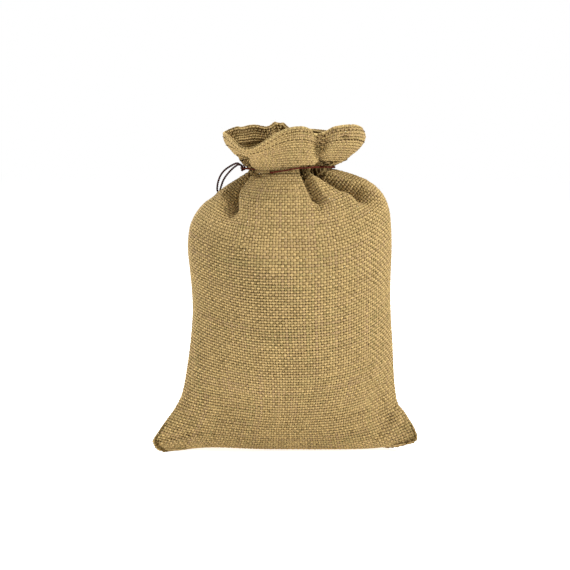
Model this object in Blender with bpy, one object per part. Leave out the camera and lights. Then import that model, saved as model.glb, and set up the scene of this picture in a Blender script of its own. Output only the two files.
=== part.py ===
"""A small hessian gift sack, filled out and standing on its base, its neck drawn in by a thin cord.

The cloth is one tube, sewn flat across the bottom and down both sides, so the sack keeps two ears
at its bottom corners. Every place on the cloth has two coordinates in millimetres of cloth:
  across  0 at the middle of the front, + to the right, a quarter of CLOTH_ROUND at each side seam
  up      0 at the bottom seam, CLOTH_UP at the rim
A row (one value of up) is a closed loop. Its smooth loop is blended from four upright outlines,
and what the loop is too short for is taken up by folds, so a row keeps its length of cloth.
+Z is up, -Y is the front, and the origin is on the floor under the middle of the sack.
"""

import math

import bmesh
import bpy
import mathutils
import numpy as np

MM = 0.001

# ---- the cloth, in millimetres ----
CLOTH_ROUND = 410.0
HALF_ROUND = CLOTH_ROUND / 2
QUARTER_ROUND = CLOTH_ROUND / 4
CLOTH_UP = 280.0
CLOTH_THICK = 1.2
HEM_DEEP = 10.0
HEM_EXTRA = 0.9
WAIST_UP = 244.0
CORD_PINCH = 1.6
CORD_PINCH_WIDE = 3.0

# ---- how the four outlines below are joined into one loop at each height of the cloth ----
SEAM_BACK = 8.0
SEAM_BOW = 30.0
SEAM_BOW_UP = 110.0
SEAM_END_BACK = 6.8
SEAM_END_UP = 12.0
SEAM_WIDE = 2.4
SEAM_WIDE_UP = 8.0
FULL_UP = 85.0
FULLER = 0.10
FULLER_UNTIL = 190.0
FULLER_EASE = 40.0
END_SHARP = 7.0
END_SHARP_LOST = 4.3
END_SHARP_UP = 60.0
SHOULDER_FROM = 70.0
FLOOR_SOFT = 1.2
LOBE_GROWTH = 1.6
TIPS_HELD_UP = 60.0
TIPS_HELD_EASE = 90.0
LEVEL_FOLDS = 0.6
LEVEL_FOLDS_EASE = 8.0
WALL_HARD = 2.2

# ---- the four upright outlines: (reach, height), from the bottom seam or ear up to the rim ----
LEFT_OUTLINE = (
    (-85.0, 1.0), (-92.5, 3.0), (-96.5, 9.0), (-91.3, 17.5), (-84.8, 26.8), (-79.3, 35.6),
    (-76.3, 44.4), (-73.4, 62.0),
    (-71.5, 80.0), (-69.5, 101.0), (-70.0, 118.5), (-71.4, 132.5), (-72.7, 147.0), (-71.7, 159.0),
    (-69.0, 167.7), (-63.4, 176.8), (-54.0, 185.6), (-41.5, 194.2), (-32.5, 200.3), (-29.3, 204.6),
    (-33.0, 209.5), (-40.0, 218.0), (-45.5, 225.0), (-46.5, 231.5),
)
RIGHT_OUTLINE = (
    (82.0, 2.5), (89.5, 4.0), (94.5, 9.0), (92.0, 16.0), (87.2, 23.5), (82.5, 30.0),
    (79.8, 38.0), (78.4, 50.0),
    (77.2, 67.0), (76.2, 85.0), (74.4, 103.0), (74.2, 124.0), (74.9, 148.0), (74.3, 169.0),
    (72.3, 179.0), (67.5, 187.5), (59.5, 194.0), (46.0, 200.8), (37.0, 204.0), (33.6, 206.4),
    (41.5, 211.0), (50.0, 216.8), (55.5, 222.5), (58.0, 229.0), (55.5, 235.0),
)
FRONT_OUTLINE = (
    (8.0, -1.6), (-2.0, -1.6), (-11.0, -0.4), (-19.0, 7.0), (-28.0, 26.0), (-39.0, 57.0),
    (-46.0, 87.0), (-49.5, 116.0), (-50.5, 140.0), (-49.0, 159.0), (-44.5, 174.0), (-38.0, 187.0),
    (-31.0, 198.0), (-27.5, 205.0), (-28.5, 210.0), (-30.5, 224.0), (-33.0, 236.0),
)
BACK_OUTLINE = (
    (8.0, -1.6), (20.0, -1.6), (31.0, -0.2), (39.0, 9.0), (45.5, 40.0), (49.0, 90.0),
    (48.5, 130.0), (45.5, 158.0), (38.0, 178.0), (28.5, 196.5), (24.0, 205.0),
    (27.0, 211.0), (33.5, 223.5), (38.5, 233.5),
)

# ---- folds drawn in by the cord: place across, length of cloth in its left and right wall,
#      depth at the waist, and how far it reaches below and above the waist ----
FOLDS = (
    # name, place, left_wall, right_wall, depth, below, above, lean_below, lean_above
    ("left_deep", -51.0, 22.0, 14.0, 12.0, 62.0, 20.0, 0.05, 0.0),
    ("front_small", -27.0, 4.5, 4.0, 3.0, 15.0, 7.0, 0.8, 0.0),
    ("front_pit", 24.0, 9.0, 9.0, 8.0, 44.0, 8.0, 0.0, 0.0),
    ("right_deep", 63.0, 20.0, 20.0, 12.0, 60.0, 40.0, 0.45, -0.4),
    ("right_side", 98.0, 11.0, 12.0, 8.5, 36.0, 12.0, 0.2, 0.0),
    ("right_back", 125.0, 14.0, 13.0, 9.5, 56.0, 26.0, 0.0, 0.2),
    ("back_one", 153.0, 13.0, 13.0, 10.0, 46.0, 20.0, 0.0, 0.0),
    ("back_two", 181.0, 14.0, 14.0, 10.0, 66.0, 40.0, 0.1, 0.0),
    ("back_three", -153.0, 14.0, 14.0, 10.0, 50.0, 28.0, -0.1, 0.0),
    ("back_four", -182.0, 13.0, 14.0, 9.0, 42.0, 16.0, 0.0, 0.0),
    ("left_back", -124.0, 14.0, 14.0, 10.0, 60.0, 30.0, 0.1, 0.0),
    ("left_side", -93.0, 13.0, 13.0, 9.0, 40.0, 16.0, -0.1, 0.0),
)

# ---- the rim's lobes: angle round the neck from the front (+ to the right), spread in degrees,
#      push outwards and upwards at the rim ----
LOBES = (
    # name, angle, spread, out, forward, rise
    ("left_front_dip", -42.0, 22.0, 2.0, 9.0, -16.0),
    ("front_panel", 10.0, 20.0, 0.0, 1.5, 0.0),
    ("right_valley", 42.0, 8.0, 0.0, -4.0, -1.0),
    ("right_front_lobe", 68.0, 17.0, 4.0, 14.0, -6.0),
    ("right_tip", 92.0, 14.0, 0.0, 6.0, 0.0),
    ("right_back_lobe", 118.0, 15.0, 4.0, -5.0, 2.0),
    ("right_back_valley", 140.0, 10.0, 0.0, 7.0, -1.0),
    ("back_right_lobe", 158.0, 12.0, 0.0, -8.0, 0.0),
    ("back_lobe", 187.0, 8.0, 0.0, -3.0, 7.0),
    ("left_back_lobe", -147.0, 17.0, 0.0, -8.0, 2.0),
    ("left_back_valley", -117.0, 13.0, -4.0, 5.0, 0.0),
)

# ---- the cord round the neck: height of its middle by angle round the neck from the front ----
CORD_THICK = 1.0
CORD_CLEAR = 0.35
NECK_MIDDLE = (2.0, -2.0)
CORD_HEIGHTS = (
    # angle, height
    (-180.0, 205.2), (-120.0, 205.0), (-76.0, 206.6), (-45.0, 204.6), (-28.0, 203.7),
    (12.0, 206.8),
    (40.0, 207.5), (75.0, 207.3), (120.0, 206.0), (180.0, 205.2),
)
CORD_DIPS = (
    # name, from_angle, to_angle, depth inside its outer course
    ("under_front_panel", -66.0, -30.0, 4.2),
    ("under_right_ridge", 30.0, 44.0, 4.2),
)
DIP_EASE = 5.0
CORD_STEP = 2.3
KNOT_ANGLE = -76.0
KNOT_OUT = 4.6
KNOT_EASE = 14.0
KNOT_GAP_ANGLE = 3.6
KNOT_SIZE = (3.4, 3.0, 3.6)
COURSE_STEP = 0.5
COURSE_BAND = 0.9

# ---- the cord's two free ends: first through open air from the knot, then laid on the back of
#      the left shoulder at (angle, up), side by side, down to the knot that joins them ----
TAIL_ONE_AIR = (
    (-33.6, -10.9, 208.4), (-34.9, -10.2, 209.6), (-37.0, -8.2, 209.7), (-40.9, -4.8, 207.8),
    (-45.4, -0.6, 204.8), (-48.6, 3.2, 200.9), (-50.8, 7.2, 195.6), (-51.6, 10.6, 190.0),
)
TAIL_TWO_AIR = (
    (-32.8, -9.3, 208.0), (-33.9, -8.1, 209.0), (-36.0, -5.6, 208.5), (-39.4, -1.8, 206.0),
    (-43.6, 2.6, 201.6), (-46.6, 6.6, 197.2), (-48.4, 10.4, 192.4), (-49.2, 13.4, 187.6),
)
TAIL_ONE_LAID = (
    (-108.0, 205.0), (-110.0, 196.0), (-113.0, 186.0), (-116.5, 175.0), (-119.8, 165.1),
)
TAIL_TWO_LAID = (
    (-116.5, 203.0), (-119.5, 194.0), (-121.5, 184.0), (-122.0, 175.0), (-121.3, 165.1),
)
TAIL_STEPS = 12
END_KNOT = (-120.5, 162.6)
END_KNOT_OUT = 2.4
END_KNOT_TOWARD = (-120.5, 149.6)
END_KNOT_TOWARD_OUT = 2.0
END_KNOT_SIZE = (3.6, 3.6, 5.0)

# ---- how the columns and rows of the mesh are shared out ----
WALL_STEPS = (-1.0, -0.55, 0.0, 0.55, 1.0)
PANEL_STEP = 11.0
COLUMN_LEAST = 2.4
ROWS_UP = (
    0.0, 7.0, 14.0, 24.0, 36.0, 52.0, 72.0, 96.0, 120.0, 142.0, 160.0, 175.0, 187.0, 197.0,
    206.0, 214.0, 221.0, 227.5, 233.0, 238.0, 242.0, 246.0, 250.5, 255.5, 261.0, 266.0, 270.0,
    275.0, 280.0,
)
INNER_FIRST_ROW = 2
MITRE_MOST = 4.5
MITRE_EVEN = 0.05
HEM_STEP = 4.0
INSIDE_SHARE = (
    # up, share
    (14.0, 0.68), (24.0, 0.76), (36.0, 0.84), (52.0, 0.92), (72.0, 1.0),
)
FINE_STEPS = 3200
LOOP_STEPS = 1440
MOST_GATHER = 2.2
FOLD_MOST = 0.82


def through(points, count=60):
    """A smooth curve through points (Catmull-Rom), sampled count times between each two."""
    p = np.array(points, float)
    p = np.vstack([2 * p[0] - p[1], p, 2 * p[-1] - p[-2]])
    t = np.linspace(0, 1, count, endpoint=False)[:, None]
    spans = []
    for a, b, c, d in zip(p[:-3], p[1:-2], p[2:-1], p[3:]):
        spans.append(0.5 * (2 * b + (c - a) * t + (2 * a - 5 * b + 4 * c - d) * t**2
                            + (3 * b - a - 3 * c + d) * t**3))
    return np.vstack(spans + [p[-2:-1]])


def lengths(points):
    """Distance along a polyline at each of its points."""
    steps = np.linalg.norm(np.diff(points, axis=0), axis=1)
    return np.concatenate([[0.0], np.cumsum(steps)])


def smoothstep(x):
    x = np.clip(x, 0, 1)
    return x * x * (3 - 2 * x)


def outline_at(points, waist_height, up):
    """(reach, height) of an upright outline at each cloth height: the cloth is fed evenly up to
    mid height, and what the outline is short of is eased in on the shoulder below the waist."""
    curve = through(points)
    along = lengths(curve)
    waist = along[np.argmin(np.abs(curve[:, 1] - waist_height) + 0.2 * np.abs(curve[:, 0]))]
    on_shoulder = smoothstep((along - SHOULDER_FROM) / (waist - SHOULDER_FROM))
    eased = along + (WAIST_UP - waist) * on_shoulder
    above = along > waist
    eased[above] = WAIST_UP + (along[above] - waist) * (CLOTH_UP - WAIST_UP) / (along[-1] - waist)
    return np.interp(up, eased, curve[:, 0]), np.interp(up, eased, curve[:, 1])


def on_floor(height, soft=FLOOR_SOFT):
    """Heights pressed flat onto the floor: exactly 0 below it, easing off over a soft edge."""
    eased = np.where(height < soft, (height + soft) ** 2 / (4 * soft), height)
    return np.where(height < -soft, 0.0, eased)


def smooth_loops(up):
    """The loop of every row without its folds: x, y, z arrays of rows by angle round the sack."""
    angle = np.linspace(-math.pi, math.pi, LOOP_STEPS + 1)[None, :]
    up = up[:, None]
    left_x, left_z = outline_at(LEFT_OUTLINE, 205, up)
    right_x, right_z = outline_at(RIGHT_OUTLINE, 207, up)
    front_y, front_z = outline_at(FRONT_OUTLINE, 205, up)
    back_y, back_z = outline_at(BACK_OUTLINE, 205, up)
    side, facing = np.sin(angle), np.cos(angle)
    grown = smoothstep(up / FULL_UP)
    fuller = FULLER * (1 - smoothstep((up - FULLER_UNTIL) / FULLER_EASE))
    seam_y = (SEAM_BACK - SEAM_BOW) * (1 - smoothstep(up / SEAM_BOW_UP)) \
        + SEAM_END_BACK * (1 - smoothstep(up / SEAM_END_UP))
    seam_gap = 0.5 * SEAM_WIDE * (1 - smoothstep(up / SEAM_WIDE_UP))
    middle_y = np.where(facing > 0, front_y, back_y)
    middle_z = np.where(facing > 0, front_z, back_z)
    side_z = np.where(side > 0, right_z, left_z)
    reach = np.where(side > 0, right_x, -left_x)
    x = reach * np.sign(side) * np.abs(side) ** (1 - grown * fuller)
    y = seam_y + (middle_y - seam_y) * np.abs(facing) ** (2 - grown * (1 + fuller))
    y = y - seam_gap * np.sign(facing) * np.sqrt(np.abs(facing))
    sharp = END_SHARP - END_SHARP_LOST * smoothstep(up / END_SHARP_UP)
    z = middle_z + (side_z - middle_z) * np.abs(side) ** sharp
    rim = np.clip((up - WAIST_UP) / (CLOTH_UP - WAIST_UP), 0, 1)
    for _name, place, spread, out, forward, rise in LOBES:
        off = np.degrees(angle) - place
        off = (off + 180) % 360 - 180
        bump = np.exp(-((off / spread) ** 2)) * rim**LOBE_GROWTH
        x = x + bump * out * side
        y = y - bump * forward
        z = z + bump * rise
    pinch = CORD_PINCH * np.exp(-(((up - WAIST_UP) / CORD_PINCH_WIDE) ** 2))
    x = x - pinch * side
    y = y + pinch * facing
    return np.stack([x, y, on_floor(z)], axis=2)


def wall_profile(t):
    """How steeply a wall of a fold stands along its length: flat at both ends, steep between."""
    return np.tanh(WALL_HARD * np.sin(math.pi * t)) / math.tanh(WALL_HARD)


STEEP = np.linspace(0, 2.1, 211)
WALL_T = (np.arange(200) + 0.5) / 200
WALL_DEEP = np.sin(STEEP[:, None] * wall_profile(WALL_T)[None, :]).mean(axis=1)
DEEPEST = int(np.argmax(WALL_DEEP))


def steepness(deep):
    """The angle a wall must stand at to go this deep, as a share of its own length."""
    return np.interp(deep, WALL_DEEP[: DEEPEST + 1], STEEP[: DEEPEST + 1])


def fold_angles(across, up, gather):
    """The angle of the cloth to its smooth loop, rows by places across."""
    angle = np.zeros((len(up), len(across)))
    for _name, place, left_wall, right_wall, depth, below, above, lean_below, lean_above in FOLDS:
        past = up - WAIST_UP
        middle = (place + np.where(past > 0, lean_above, -lean_below) * past)[:, None]
        off = (across[None, :] - middle + HALF_ROUND) % CLOTH_ROUND - HALF_ROUND
        reach = np.where(up < WAIST_UP, (WAIST_UP - up) / below, (up - WAIST_UP) / above)
        deep = gather * depth * np.clip(1 - reach**2, 0, 1) ** 2
        deep = np.minimum(deep, FOLD_MOST * WALL_DEEP[DEEPEST] * min(left_wall, right_wall))
        wall = np.where(off < 0, left_wall, right_wall)
        steep = np.where(off < 0, steepness(deep / left_wall)[:, None],
                         -steepness(deep / right_wall)[:, None])
        angle += steep * wall_profile(np.clip(np.abs(off) / wall, 0, 1))
    return angle


def gathers(up, loop_length):
    """How hard each row is gathered, so that its folds take up what its loop is short of."""
    across = (np.arange(FINE_STEPS // 4) + 0.5) * 4 * CLOTH_ROUND / FINE_STEPS - HALF_ROUND
    low, high = np.zeros(len(up)), np.full(len(up), MOST_GATHER)
    for _ in range(24):
        middle = (low + high) / 2
        taken = np.cos(fold_angles(across, up, middle)).mean(axis=1) * CLOTH_ROUND
        low = np.where(taken > loop_length, middle, low)
        high = np.where(taken > loop_length, high, middle)
    return (low + high) / 2


def cloth_surface(up, columns):
    """Points of the cloth's outer face, rows by columns, with its folds. On the lower rows the
    two side seams are held at the two ends of the loop, where the ears are."""
    loops = smooth_loops(up)
    steps = np.linalg.norm(np.diff(loops, axis=1), axis=2)
    along = np.concatenate([np.zeros((len(up), 1)), np.cumsum(steps, axis=1)], axis=1)
    whole = along[:, -1]
    front = along[:, LOOP_STEPS // 2]
    tips = along[:, [LOOP_STEPS // 4, 3 * LOOP_STEPS // 4]]
    held = 1 - smoothstep((up - TIPS_HELD_UP) / TIPS_HELD_EASE)
    fine = (np.arange(FINE_STEPS) + 0.5) * CLOTH_ROUND / FINE_STEPS - HALF_ROUND
    angle = fold_angles(fine, up, gathers(up, whole))
    step = CLOTH_ROUND / FINE_STEPS
    edges = np.linspace(-HALF_ROUND, HALF_ROUND, FINE_STEPS + 1)
    start = np.zeros((len(up), 1))
    flat = np.concatenate([start, np.cumsum(np.cos(angle), axis=1) * step], axis=1)
    deep = np.concatenate([start, np.cumsum(np.sin(angle), axis=1) * step], axis=1)
    flat *= (whole / flat[:, -1])[:, None]
    round_u = np.gradient(loops, axis=1)
    round_v = np.gradient(loops, up, axis=0)
    inward = np.cross(round_v, round_u)
    above_cord = smoothstep((up - WAIST_UP + 2) / LEVEL_FOLDS_EASE)
    inward[:, :, 2] *= 1 - LEVEL_FOLDS * above_cord[:, None]
    inward /= np.maximum(np.linalg.norm(inward, axis=2, keepdims=True), 1e-9)
    points = np.empty((len(up), len(columns), 3))
    for row in range(len(up)):
        start = front[row] - np.interp(0.0, edges, flat[row])
        place = start + np.interp(columns, edges, flat[row])
        sides = [-QUARTER_ROUND, QUARTER_ROUND]
        pull = held[row] * (tips[row] - start - np.interp(sides, edges, flat[row]))
        place = (place + np.interp(columns, sides, pull, period=CLOTH_ROUND)) % whole[row]
        depth = np.interp(columns, edges, deep[row])
        for axis in range(3):
            points[row, :, axis] = np.interp(place, along[row], loops[row, :, axis]) \
                + depth * np.interp(place, along[row], inward[row, :, axis])
    return points


def columns():
    """Places across the cloth where the solid has a column: the two side seams, the steps of
    every fold's walls, and even steps over the panels between them."""
    wanted = []
    for _name, place, left_wall, right_wall, *_rest in FOLDS:
        wanted += [place + step * (left_wall if step < 0 else right_wall) for step in WALL_STEPS]
    places = [-QUARTER_ROUND, QUARTER_ROUND]
    for place in sorted((place + HALF_ROUND) % CLOTH_ROUND - HALF_ROUND for place in wanted):
        gaps = [abs((place - other + HALF_ROUND) % CLOTH_ROUND - HALF_ROUND) for other in places]
        if min(gaps) >= COLUMN_LEAST:
            places.append(place)
    places.sort()
    filled = []
    for here, after in zip(places, places[1:] + [places[0] + CLOTH_ROUND]):
        parts = math.ceil((after - here) / PANEL_STEP)
        filled += [here + (after - here) * part / parts for part in range(parts)]
    return np.array(filled)


def wrapped(grid):
    """A grid of rows with its last column put before the first and its first after the last."""
    return np.concatenate([grid[:, -1:], grid, grid[:, :1]], axis=1)


def face_normals(points):
    """Outward normals of the four faces round every grid point, rows by columns by 4 by 3."""
    ring = wrapped(points)
    across = np.diff(ring, axis=1)
    up = np.diff(points, axis=0)
    left, right = across[:, :-1], across[:, 1:]
    above = np.concatenate([up, up[-1:]])
    below = np.concatenate([up[:1], up])
    corners = [np.cross(side, rise) for side in (left, right) for rise in (below, above)]
    corners = np.stack(corners, axis=2)
    return corners / np.maximum(np.linalg.norm(corners, axis=3, keepdims=True), 1e-9)


def inner_face(points, thick):
    """Points of the cloth's inner face: each outer point goes in by the step that lies nearest to
    `thick` under all the faces round it, and no further than MITRE_MOST thicknesses."""
    normals = face_normals(points)
    spread = np.einsum("rcki,rckj->rcij", normals, normals) + MITRE_EVEN * np.eye(3)
    target = normals.sum(axis=2) * thick[:, None, None]
    step = np.linalg.solve(spread, target[..., None])[..., 0]
    size = np.maximum(np.linalg.norm(step, axis=2, keepdims=True), 1e-9)
    return points - step * np.minimum(1.0, MITRE_MOST * thick[:, None, None] / size)


def drawn_from_ears(inner, up, places):
    """The inner face with its low rows drawn back from the side seams, because the two layers of
    cloth lie on each other in the ears: each row keeps the share of its width that
    INSIDE_SHARE gives for its height."""
    share = np.interp(up, *np.array(INSIDE_SHARE).T)
    behind = (places - HALF_ROUND) % CLOTH_ROUND
    behind = np.where(behind > HALF_ROUND, behind - CLOTH_ROUND, behind)
    in_front = np.abs(places) < QUARTER_ROUND - 0.01
    in_back = np.abs(places) > QUARTER_ROUND + 0.01
    drawn = inner.copy()
    for row in np.flatnonzero(share < 1):
        front = np.clip(places, -QUARTER_ROUND, QUARTER_ROUND) * share[row]
        back = HALF_ROUND + np.clip(behind, -QUARTER_ROUND, QUARTER_ROUND) * share[row]
        for axis in range(3):
            line = inner[row, :, axis]
            at_front = np.interp(front, places, line, period=CLOTH_ROUND)
            at_back = np.interp(back, places, line, period=CLOTH_ROUND)
            at_seam = (at_front + at_back) / 2
            drawn[row, :, axis] = np.select([in_front, in_back], [at_front, at_back], at_seam)
    return drawn


def zipped(front, back, x_of):
    """Triangles that close the slit between two rows of vertex numbers that share both ends."""
    triangles, i, j = [], 0, 0
    while i < len(front) - 1 or j < len(back) - 1:
        front_next = i < len(front) - 1 and (
            j == len(back) - 1 or x_of[front[i + 1]] <= x_of[back[j + 1]])
        third = front[i + 1] if front_next else back[j + 1]
        corners = (front[i], back[j], third)
        if len(set(corners)) == 3:
            triangles.append(corners)
        i, j = (i + 1, j) if front_next else (i, j + 1)
    return triangles


def half_rows(places, row_start):
    """Vertex numbers of a row's front half and back half, both from the left seam to the right."""
    left = int(np.argmin(np.abs(places + QUARTER_ROUND)))
    right = int(np.argmin(np.abs(places - QUARTER_ROUND)))
    count = len(places)
    front = [row_start + c for c in range(left, right + 1)]
    back = [row_start + c % count for c in range(left + count, right, -1)]
    return front, back


def cloth_mesh(name):
    """The sack's cloth as one closed shell: outer face, inner face, rim and the two bottom strips."""
    places = columns()
    up = np.array(ROWS_UP)
    outer = cloth_surface(up, places)
    hem = smoothstep((up - (CLOTH_UP - HEM_DEEP) + HEM_STEP) / HEM_STEP)
    thick = CLOTH_THICK + HEM_EXTRA * hem
    inner = drawn_from_ears(inner_face(outer, thick), up, places)[INNER_FIRST_ROW:]
    count = len(places)
    points = np.concatenate([outer.reshape(-1, 3), inner.reshape(-1, 3)])
    x_of = points[:, 0]
    inner_start = len(up) * count
    faces = []
    inner_rows = len(up) - INNER_FIRST_ROW
    for start, rows, turned in ((0, len(up), False), (inner_start, inner_rows, True)):
        for row in range(rows - 1):
            for c in range(count):
                a = start + row * count + c
                b = start + row * count + (c + 1) % count
                quad = (a, b, b + count, a + count)
                faces.append(quad[::-1] if turned else quad)
    rim_out = (len(up) - 1) * count
    rim_in = inner_start + (inner_rows - 1) * count
    for c in range(count):
        after = (c + 1) % count
        faces.append((rim_out + c, rim_out + after, rim_in + after, rim_in + c))
    for start in (0, inner_start):
        front, back = half_rows(places, start)
        faces += zipped(front, back, x_of)
    mesh = bpy.data.meshes.new(name)
    mesh.from_pydata((points * MM).tolist(), [], faces)
    shell = bmesh.new()
    shell.from_mesh(mesh)
    bmesh.ops.triangulate(shell, faces=shell.faces, quad_method="BEAUTY")
    bmesh.ops.recalc_face_normals(shell, faces=shell.faces)
    shell.to_mesh(mesh)
    shell.free()
    return mesh


def material(name, color, roughness):
    """A Principled material of one colour."""
    made = bpy.data.materials.new(name)
    made.use_nodes = True
    shader = made.node_tree.nodes["Principled BSDF"]
    shader.inputs["Base Color"].default_value = (*color, 1.0)
    shader.inputs["Roughness"].default_value = roughness
    shader.inputs["Metallic"].default_value = 0.0
    return made


def placed(name, data, finish):
    """A named object in the scene, with its material."""
    made = bpy.data.objects.new(name, data)
    data.materials.append(finish)
    bpy.context.scene.collection.objects.link(made)
    return made


def evened(points, step):
    """Points at even distances of about `step` along a polyline."""
    along = lengths(points)
    stops = np.linspace(0, along[-1], max(2, round(along[-1] / step) + 1))
    return np.stack([np.interp(stops, along, points[:, axis]) for axis in range(3)], axis=1)


def cord_curve(name, points, thick):
    """A round cord along points in millimetres, with flat filled ends."""
    data = bpy.data.curves.new(name, "CURVE")
    data.dimensions = "3D"
    data.bevel_depth = thick / 2 * MM
    data.bevel_resolution = 2
    data.use_fill_caps = True
    spline = data.splines.new("POLY")
    spline.points.add(len(points) - 1)
    flat = np.concatenate([points * MM, np.ones((len(points), 1))], axis=1)
    spline.points.foreach_set("co", flat.ravel())
    return data


def laid(angle, up, out):
    """The point `out` millimetres off the cloth's smooth loop at an angle and a cloth height."""
    rows = np.array([up - 0.5, up, up + 0.5])
    loops = smooth_loops(rows)
    degrees = np.linspace(-180, 180, LOOP_STEPS + 1)
    at = int(np.argmin(np.abs(degrees - angle)))
    round_u = loops[1, at + 1] - loops[1, at - 1]
    round_v = loops[2, at] - loops[0, at]
    outward = np.cross(round_u, round_v)
    return loops[1, at] + outward / np.linalg.norm(outward) * out


def ring_course():
    """The cord's course round the neck, every half degree: it lies on the outside of the drawn-in
    cloth as a tight cord does, straight across the mouths of the folds, and goes in under the
    cloth at each of CORD_DIPS. It starts and ends a little away from the middle of the knot."""
    up = np.linspace(WAIST_UP - 7, WAIST_UP + 9, 33)
    across = np.linspace(-HALF_ROUND, HALF_ROUND, 500, endpoint=False)
    cloth = cloth_surface(up, across).reshape(-1, 3)
    middle = np.array(NECK_MIDDLE)
    angle_of = np.degrees(np.arctan2(cloth[:, 0] - middle[0], middle[1] - cloth[:, 1]))
    heights = np.array(CORD_HEIGHTS)
    near = np.abs(cloth[:, 2] - np.interp(angle_of, heights[:, 0], heights[:, 1])) < COURSE_BAND
    plan = [mathutils.Vector(point) for point in cloth[near, :2]]
    hull = cloth[near, :2][mathutils.geometry.convex_hull_2d(plan)]
    facing = np.radians(np.arange(0, 360, COURSE_STEP))
    looks = np.stack([np.sin(facing), -np.cos(facing)], axis=1)
    outer = hull[np.argmax(looks @ hull.T, axis=1)] + looks * (CORD_THICK / 2 + CORD_CLEAR)
    off = outer - middle
    angle = np.degrees(np.arctan2(off[:, 0], -off[:, 1]))
    radius = np.linalg.norm(off, axis=1)
    order = np.argsort(angle)
    angle, radius = angle[order], radius[order]
    last = 360 - KNOT_GAP_ANGLE + COURSE_STEP / 2
    course = KNOT_ANGLE + np.arange(KNOT_GAP_ANGLE, last, COURSE_STEP)
    turned = (course + 180) % 360 - 180
    radius = np.interp(turned, angle, radius, period=360)
    for _name, first, last, depth in CORD_DIPS:
        under = smoothstep((turned - first) / DIP_EASE) * smoothstep((last - turned) / DIP_EASE)
        radius -= depth * under
    from_knot = np.abs((turned - KNOT_ANGLE + 180) % 360 - 180)
    radius += KNOT_OUT * (1 - smoothstep(from_knot / KNOT_EASE))
    turn = np.radians(turned)
    height = np.interp(turned, heights[:, 0], heights[:, 1])
    x = middle[0] + radius * np.sin(turn)
    y = middle[1] - radius * np.cos(turn)
    return np.stack([x, y, height], axis=1)


def knot_place():
    """The middle of the knot: between the two ends of the cord's course."""
    course = ring_course()
    return (course[0] + course[-1]) / 2


def tail_course(air, rest):
    """A free end's course: its points in the air, then its points laid on the cloth."""
    lying = [laid(angle, up, CORD_THICK / 2 + CORD_CLEAR) for angle, up in rest]
    return through(list(air) + [tuple(point) for point in lying], TAIL_STEPS)


def rounded(name, size, place, toward=(0, 0, 1)):
    """A rounded lump of three diameters in millimetres, its long axis turned along `toward`."""
    lump = bmesh.new()
    bmesh.ops.create_icosphere(lump, subdivisions=2, radius=0.5)
    turn = mathutils.Vector(toward).to_track_quat("Z", "Y").to_matrix().to_4x4()
    scale = mathutils.Matrix.Diagonal((*(s * MM for s in size), 1.0))
    lump.transform(mathutils.Matrix.Translation(mathutils.Vector(place) * MM) @ turn @ scale)
    mesh = bpy.data.meshes.new(name)
    lump.to_mesh(mesh)
    lump.free()
    return mesh


def build():
    for old in list(bpy.data.objects):
        bpy.data.objects.remove(old)
    hessian = material("hessian", (0.47, 0.33, 0.19), 0.92)
    waxed = material("waxed_cord", (0.10, 0.028, 0.022), 0.6)

    sack = placed("sack", cloth_mesh("sack"), hessian)
    course = evened(ring_course(), CORD_STEP)
    placed("drawcord", cord_curve("drawcord", course, CORD_THICK), waxed)
    wider = cord_curve("cord_way", course, CORD_THICK + 2 * CORD_CLEAR)
    guide = placed("cord_way_curve", wider, waxed)
    seen = guide.evaluated_get(bpy.context.evaluated_depsgraph_get())
    cutter = placed("cord_way", bpy.data.meshes.new_from_object(seen), waxed)
    bpy.data.objects.remove(guide)
    cutter.hide_render = True
    cutter.display_type = "WIRE"
    cut = sack.modifiers.new("cord_way", "BOOLEAN")
    cut.operation = "DIFFERENCE"
    cut.solver = "EXACT"
    cut.object = cutter

    placed("tie_knot", rounded("tie_knot", KNOT_SIZE, knot_place()), waxed)
    for name, air, rest in (("tail_one", TAIL_ONE_AIR, TAIL_ONE_LAID),
                            ("tail_two", TAIL_TWO_AIR, TAIL_TWO_LAID)):
        tail = evened(tail_course(air, rest), CORD_STEP)
        placed(name, cord_curve(name, tail, CORD_THICK), waxed)
    end = laid(*END_KNOT, END_KNOT_OUT)
    down = laid(*END_KNOT_TOWARD, END_KNOT_TOWARD_OUT) - end
    placed("end_knot", rounded("end_knot", END_KNOT_SIZE, end, down), waxed)


build()
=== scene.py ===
# %% [markdown]
# # A small hessian sack, tied at the neck
# The sack is one tube of coarse, plain-woven jute: sewn flat across the bottom and up both sides,
# turned over into a hem at the mouth, filled, and drawn in by a thin waxed cord.
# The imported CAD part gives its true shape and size. This lesson dresses that shape: it weaves the
# cloth out of real yarns, twists the cord out of two plies, ties its knots, sews the hem and
# then sets up a small white studio.
# Lengths are in millimetres of cloth or of air until a mesh is made, where they become metres.
# +Z is up and -Y is the front.

import math

import bpy
import numpy as np
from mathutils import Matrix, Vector


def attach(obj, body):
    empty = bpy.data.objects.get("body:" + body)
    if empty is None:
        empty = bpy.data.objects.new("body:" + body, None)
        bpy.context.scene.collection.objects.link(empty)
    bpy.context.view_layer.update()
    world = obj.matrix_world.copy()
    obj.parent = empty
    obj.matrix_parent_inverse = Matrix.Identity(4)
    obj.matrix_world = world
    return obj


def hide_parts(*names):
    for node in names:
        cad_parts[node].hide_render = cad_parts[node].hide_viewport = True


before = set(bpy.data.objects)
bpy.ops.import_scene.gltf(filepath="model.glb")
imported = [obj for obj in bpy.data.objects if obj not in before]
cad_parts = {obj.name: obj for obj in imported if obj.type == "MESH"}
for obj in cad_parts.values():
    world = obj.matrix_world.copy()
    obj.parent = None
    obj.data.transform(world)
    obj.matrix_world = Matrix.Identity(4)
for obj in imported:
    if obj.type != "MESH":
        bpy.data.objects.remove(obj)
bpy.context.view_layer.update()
print("CAD nodes:", sorted(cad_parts))

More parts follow.
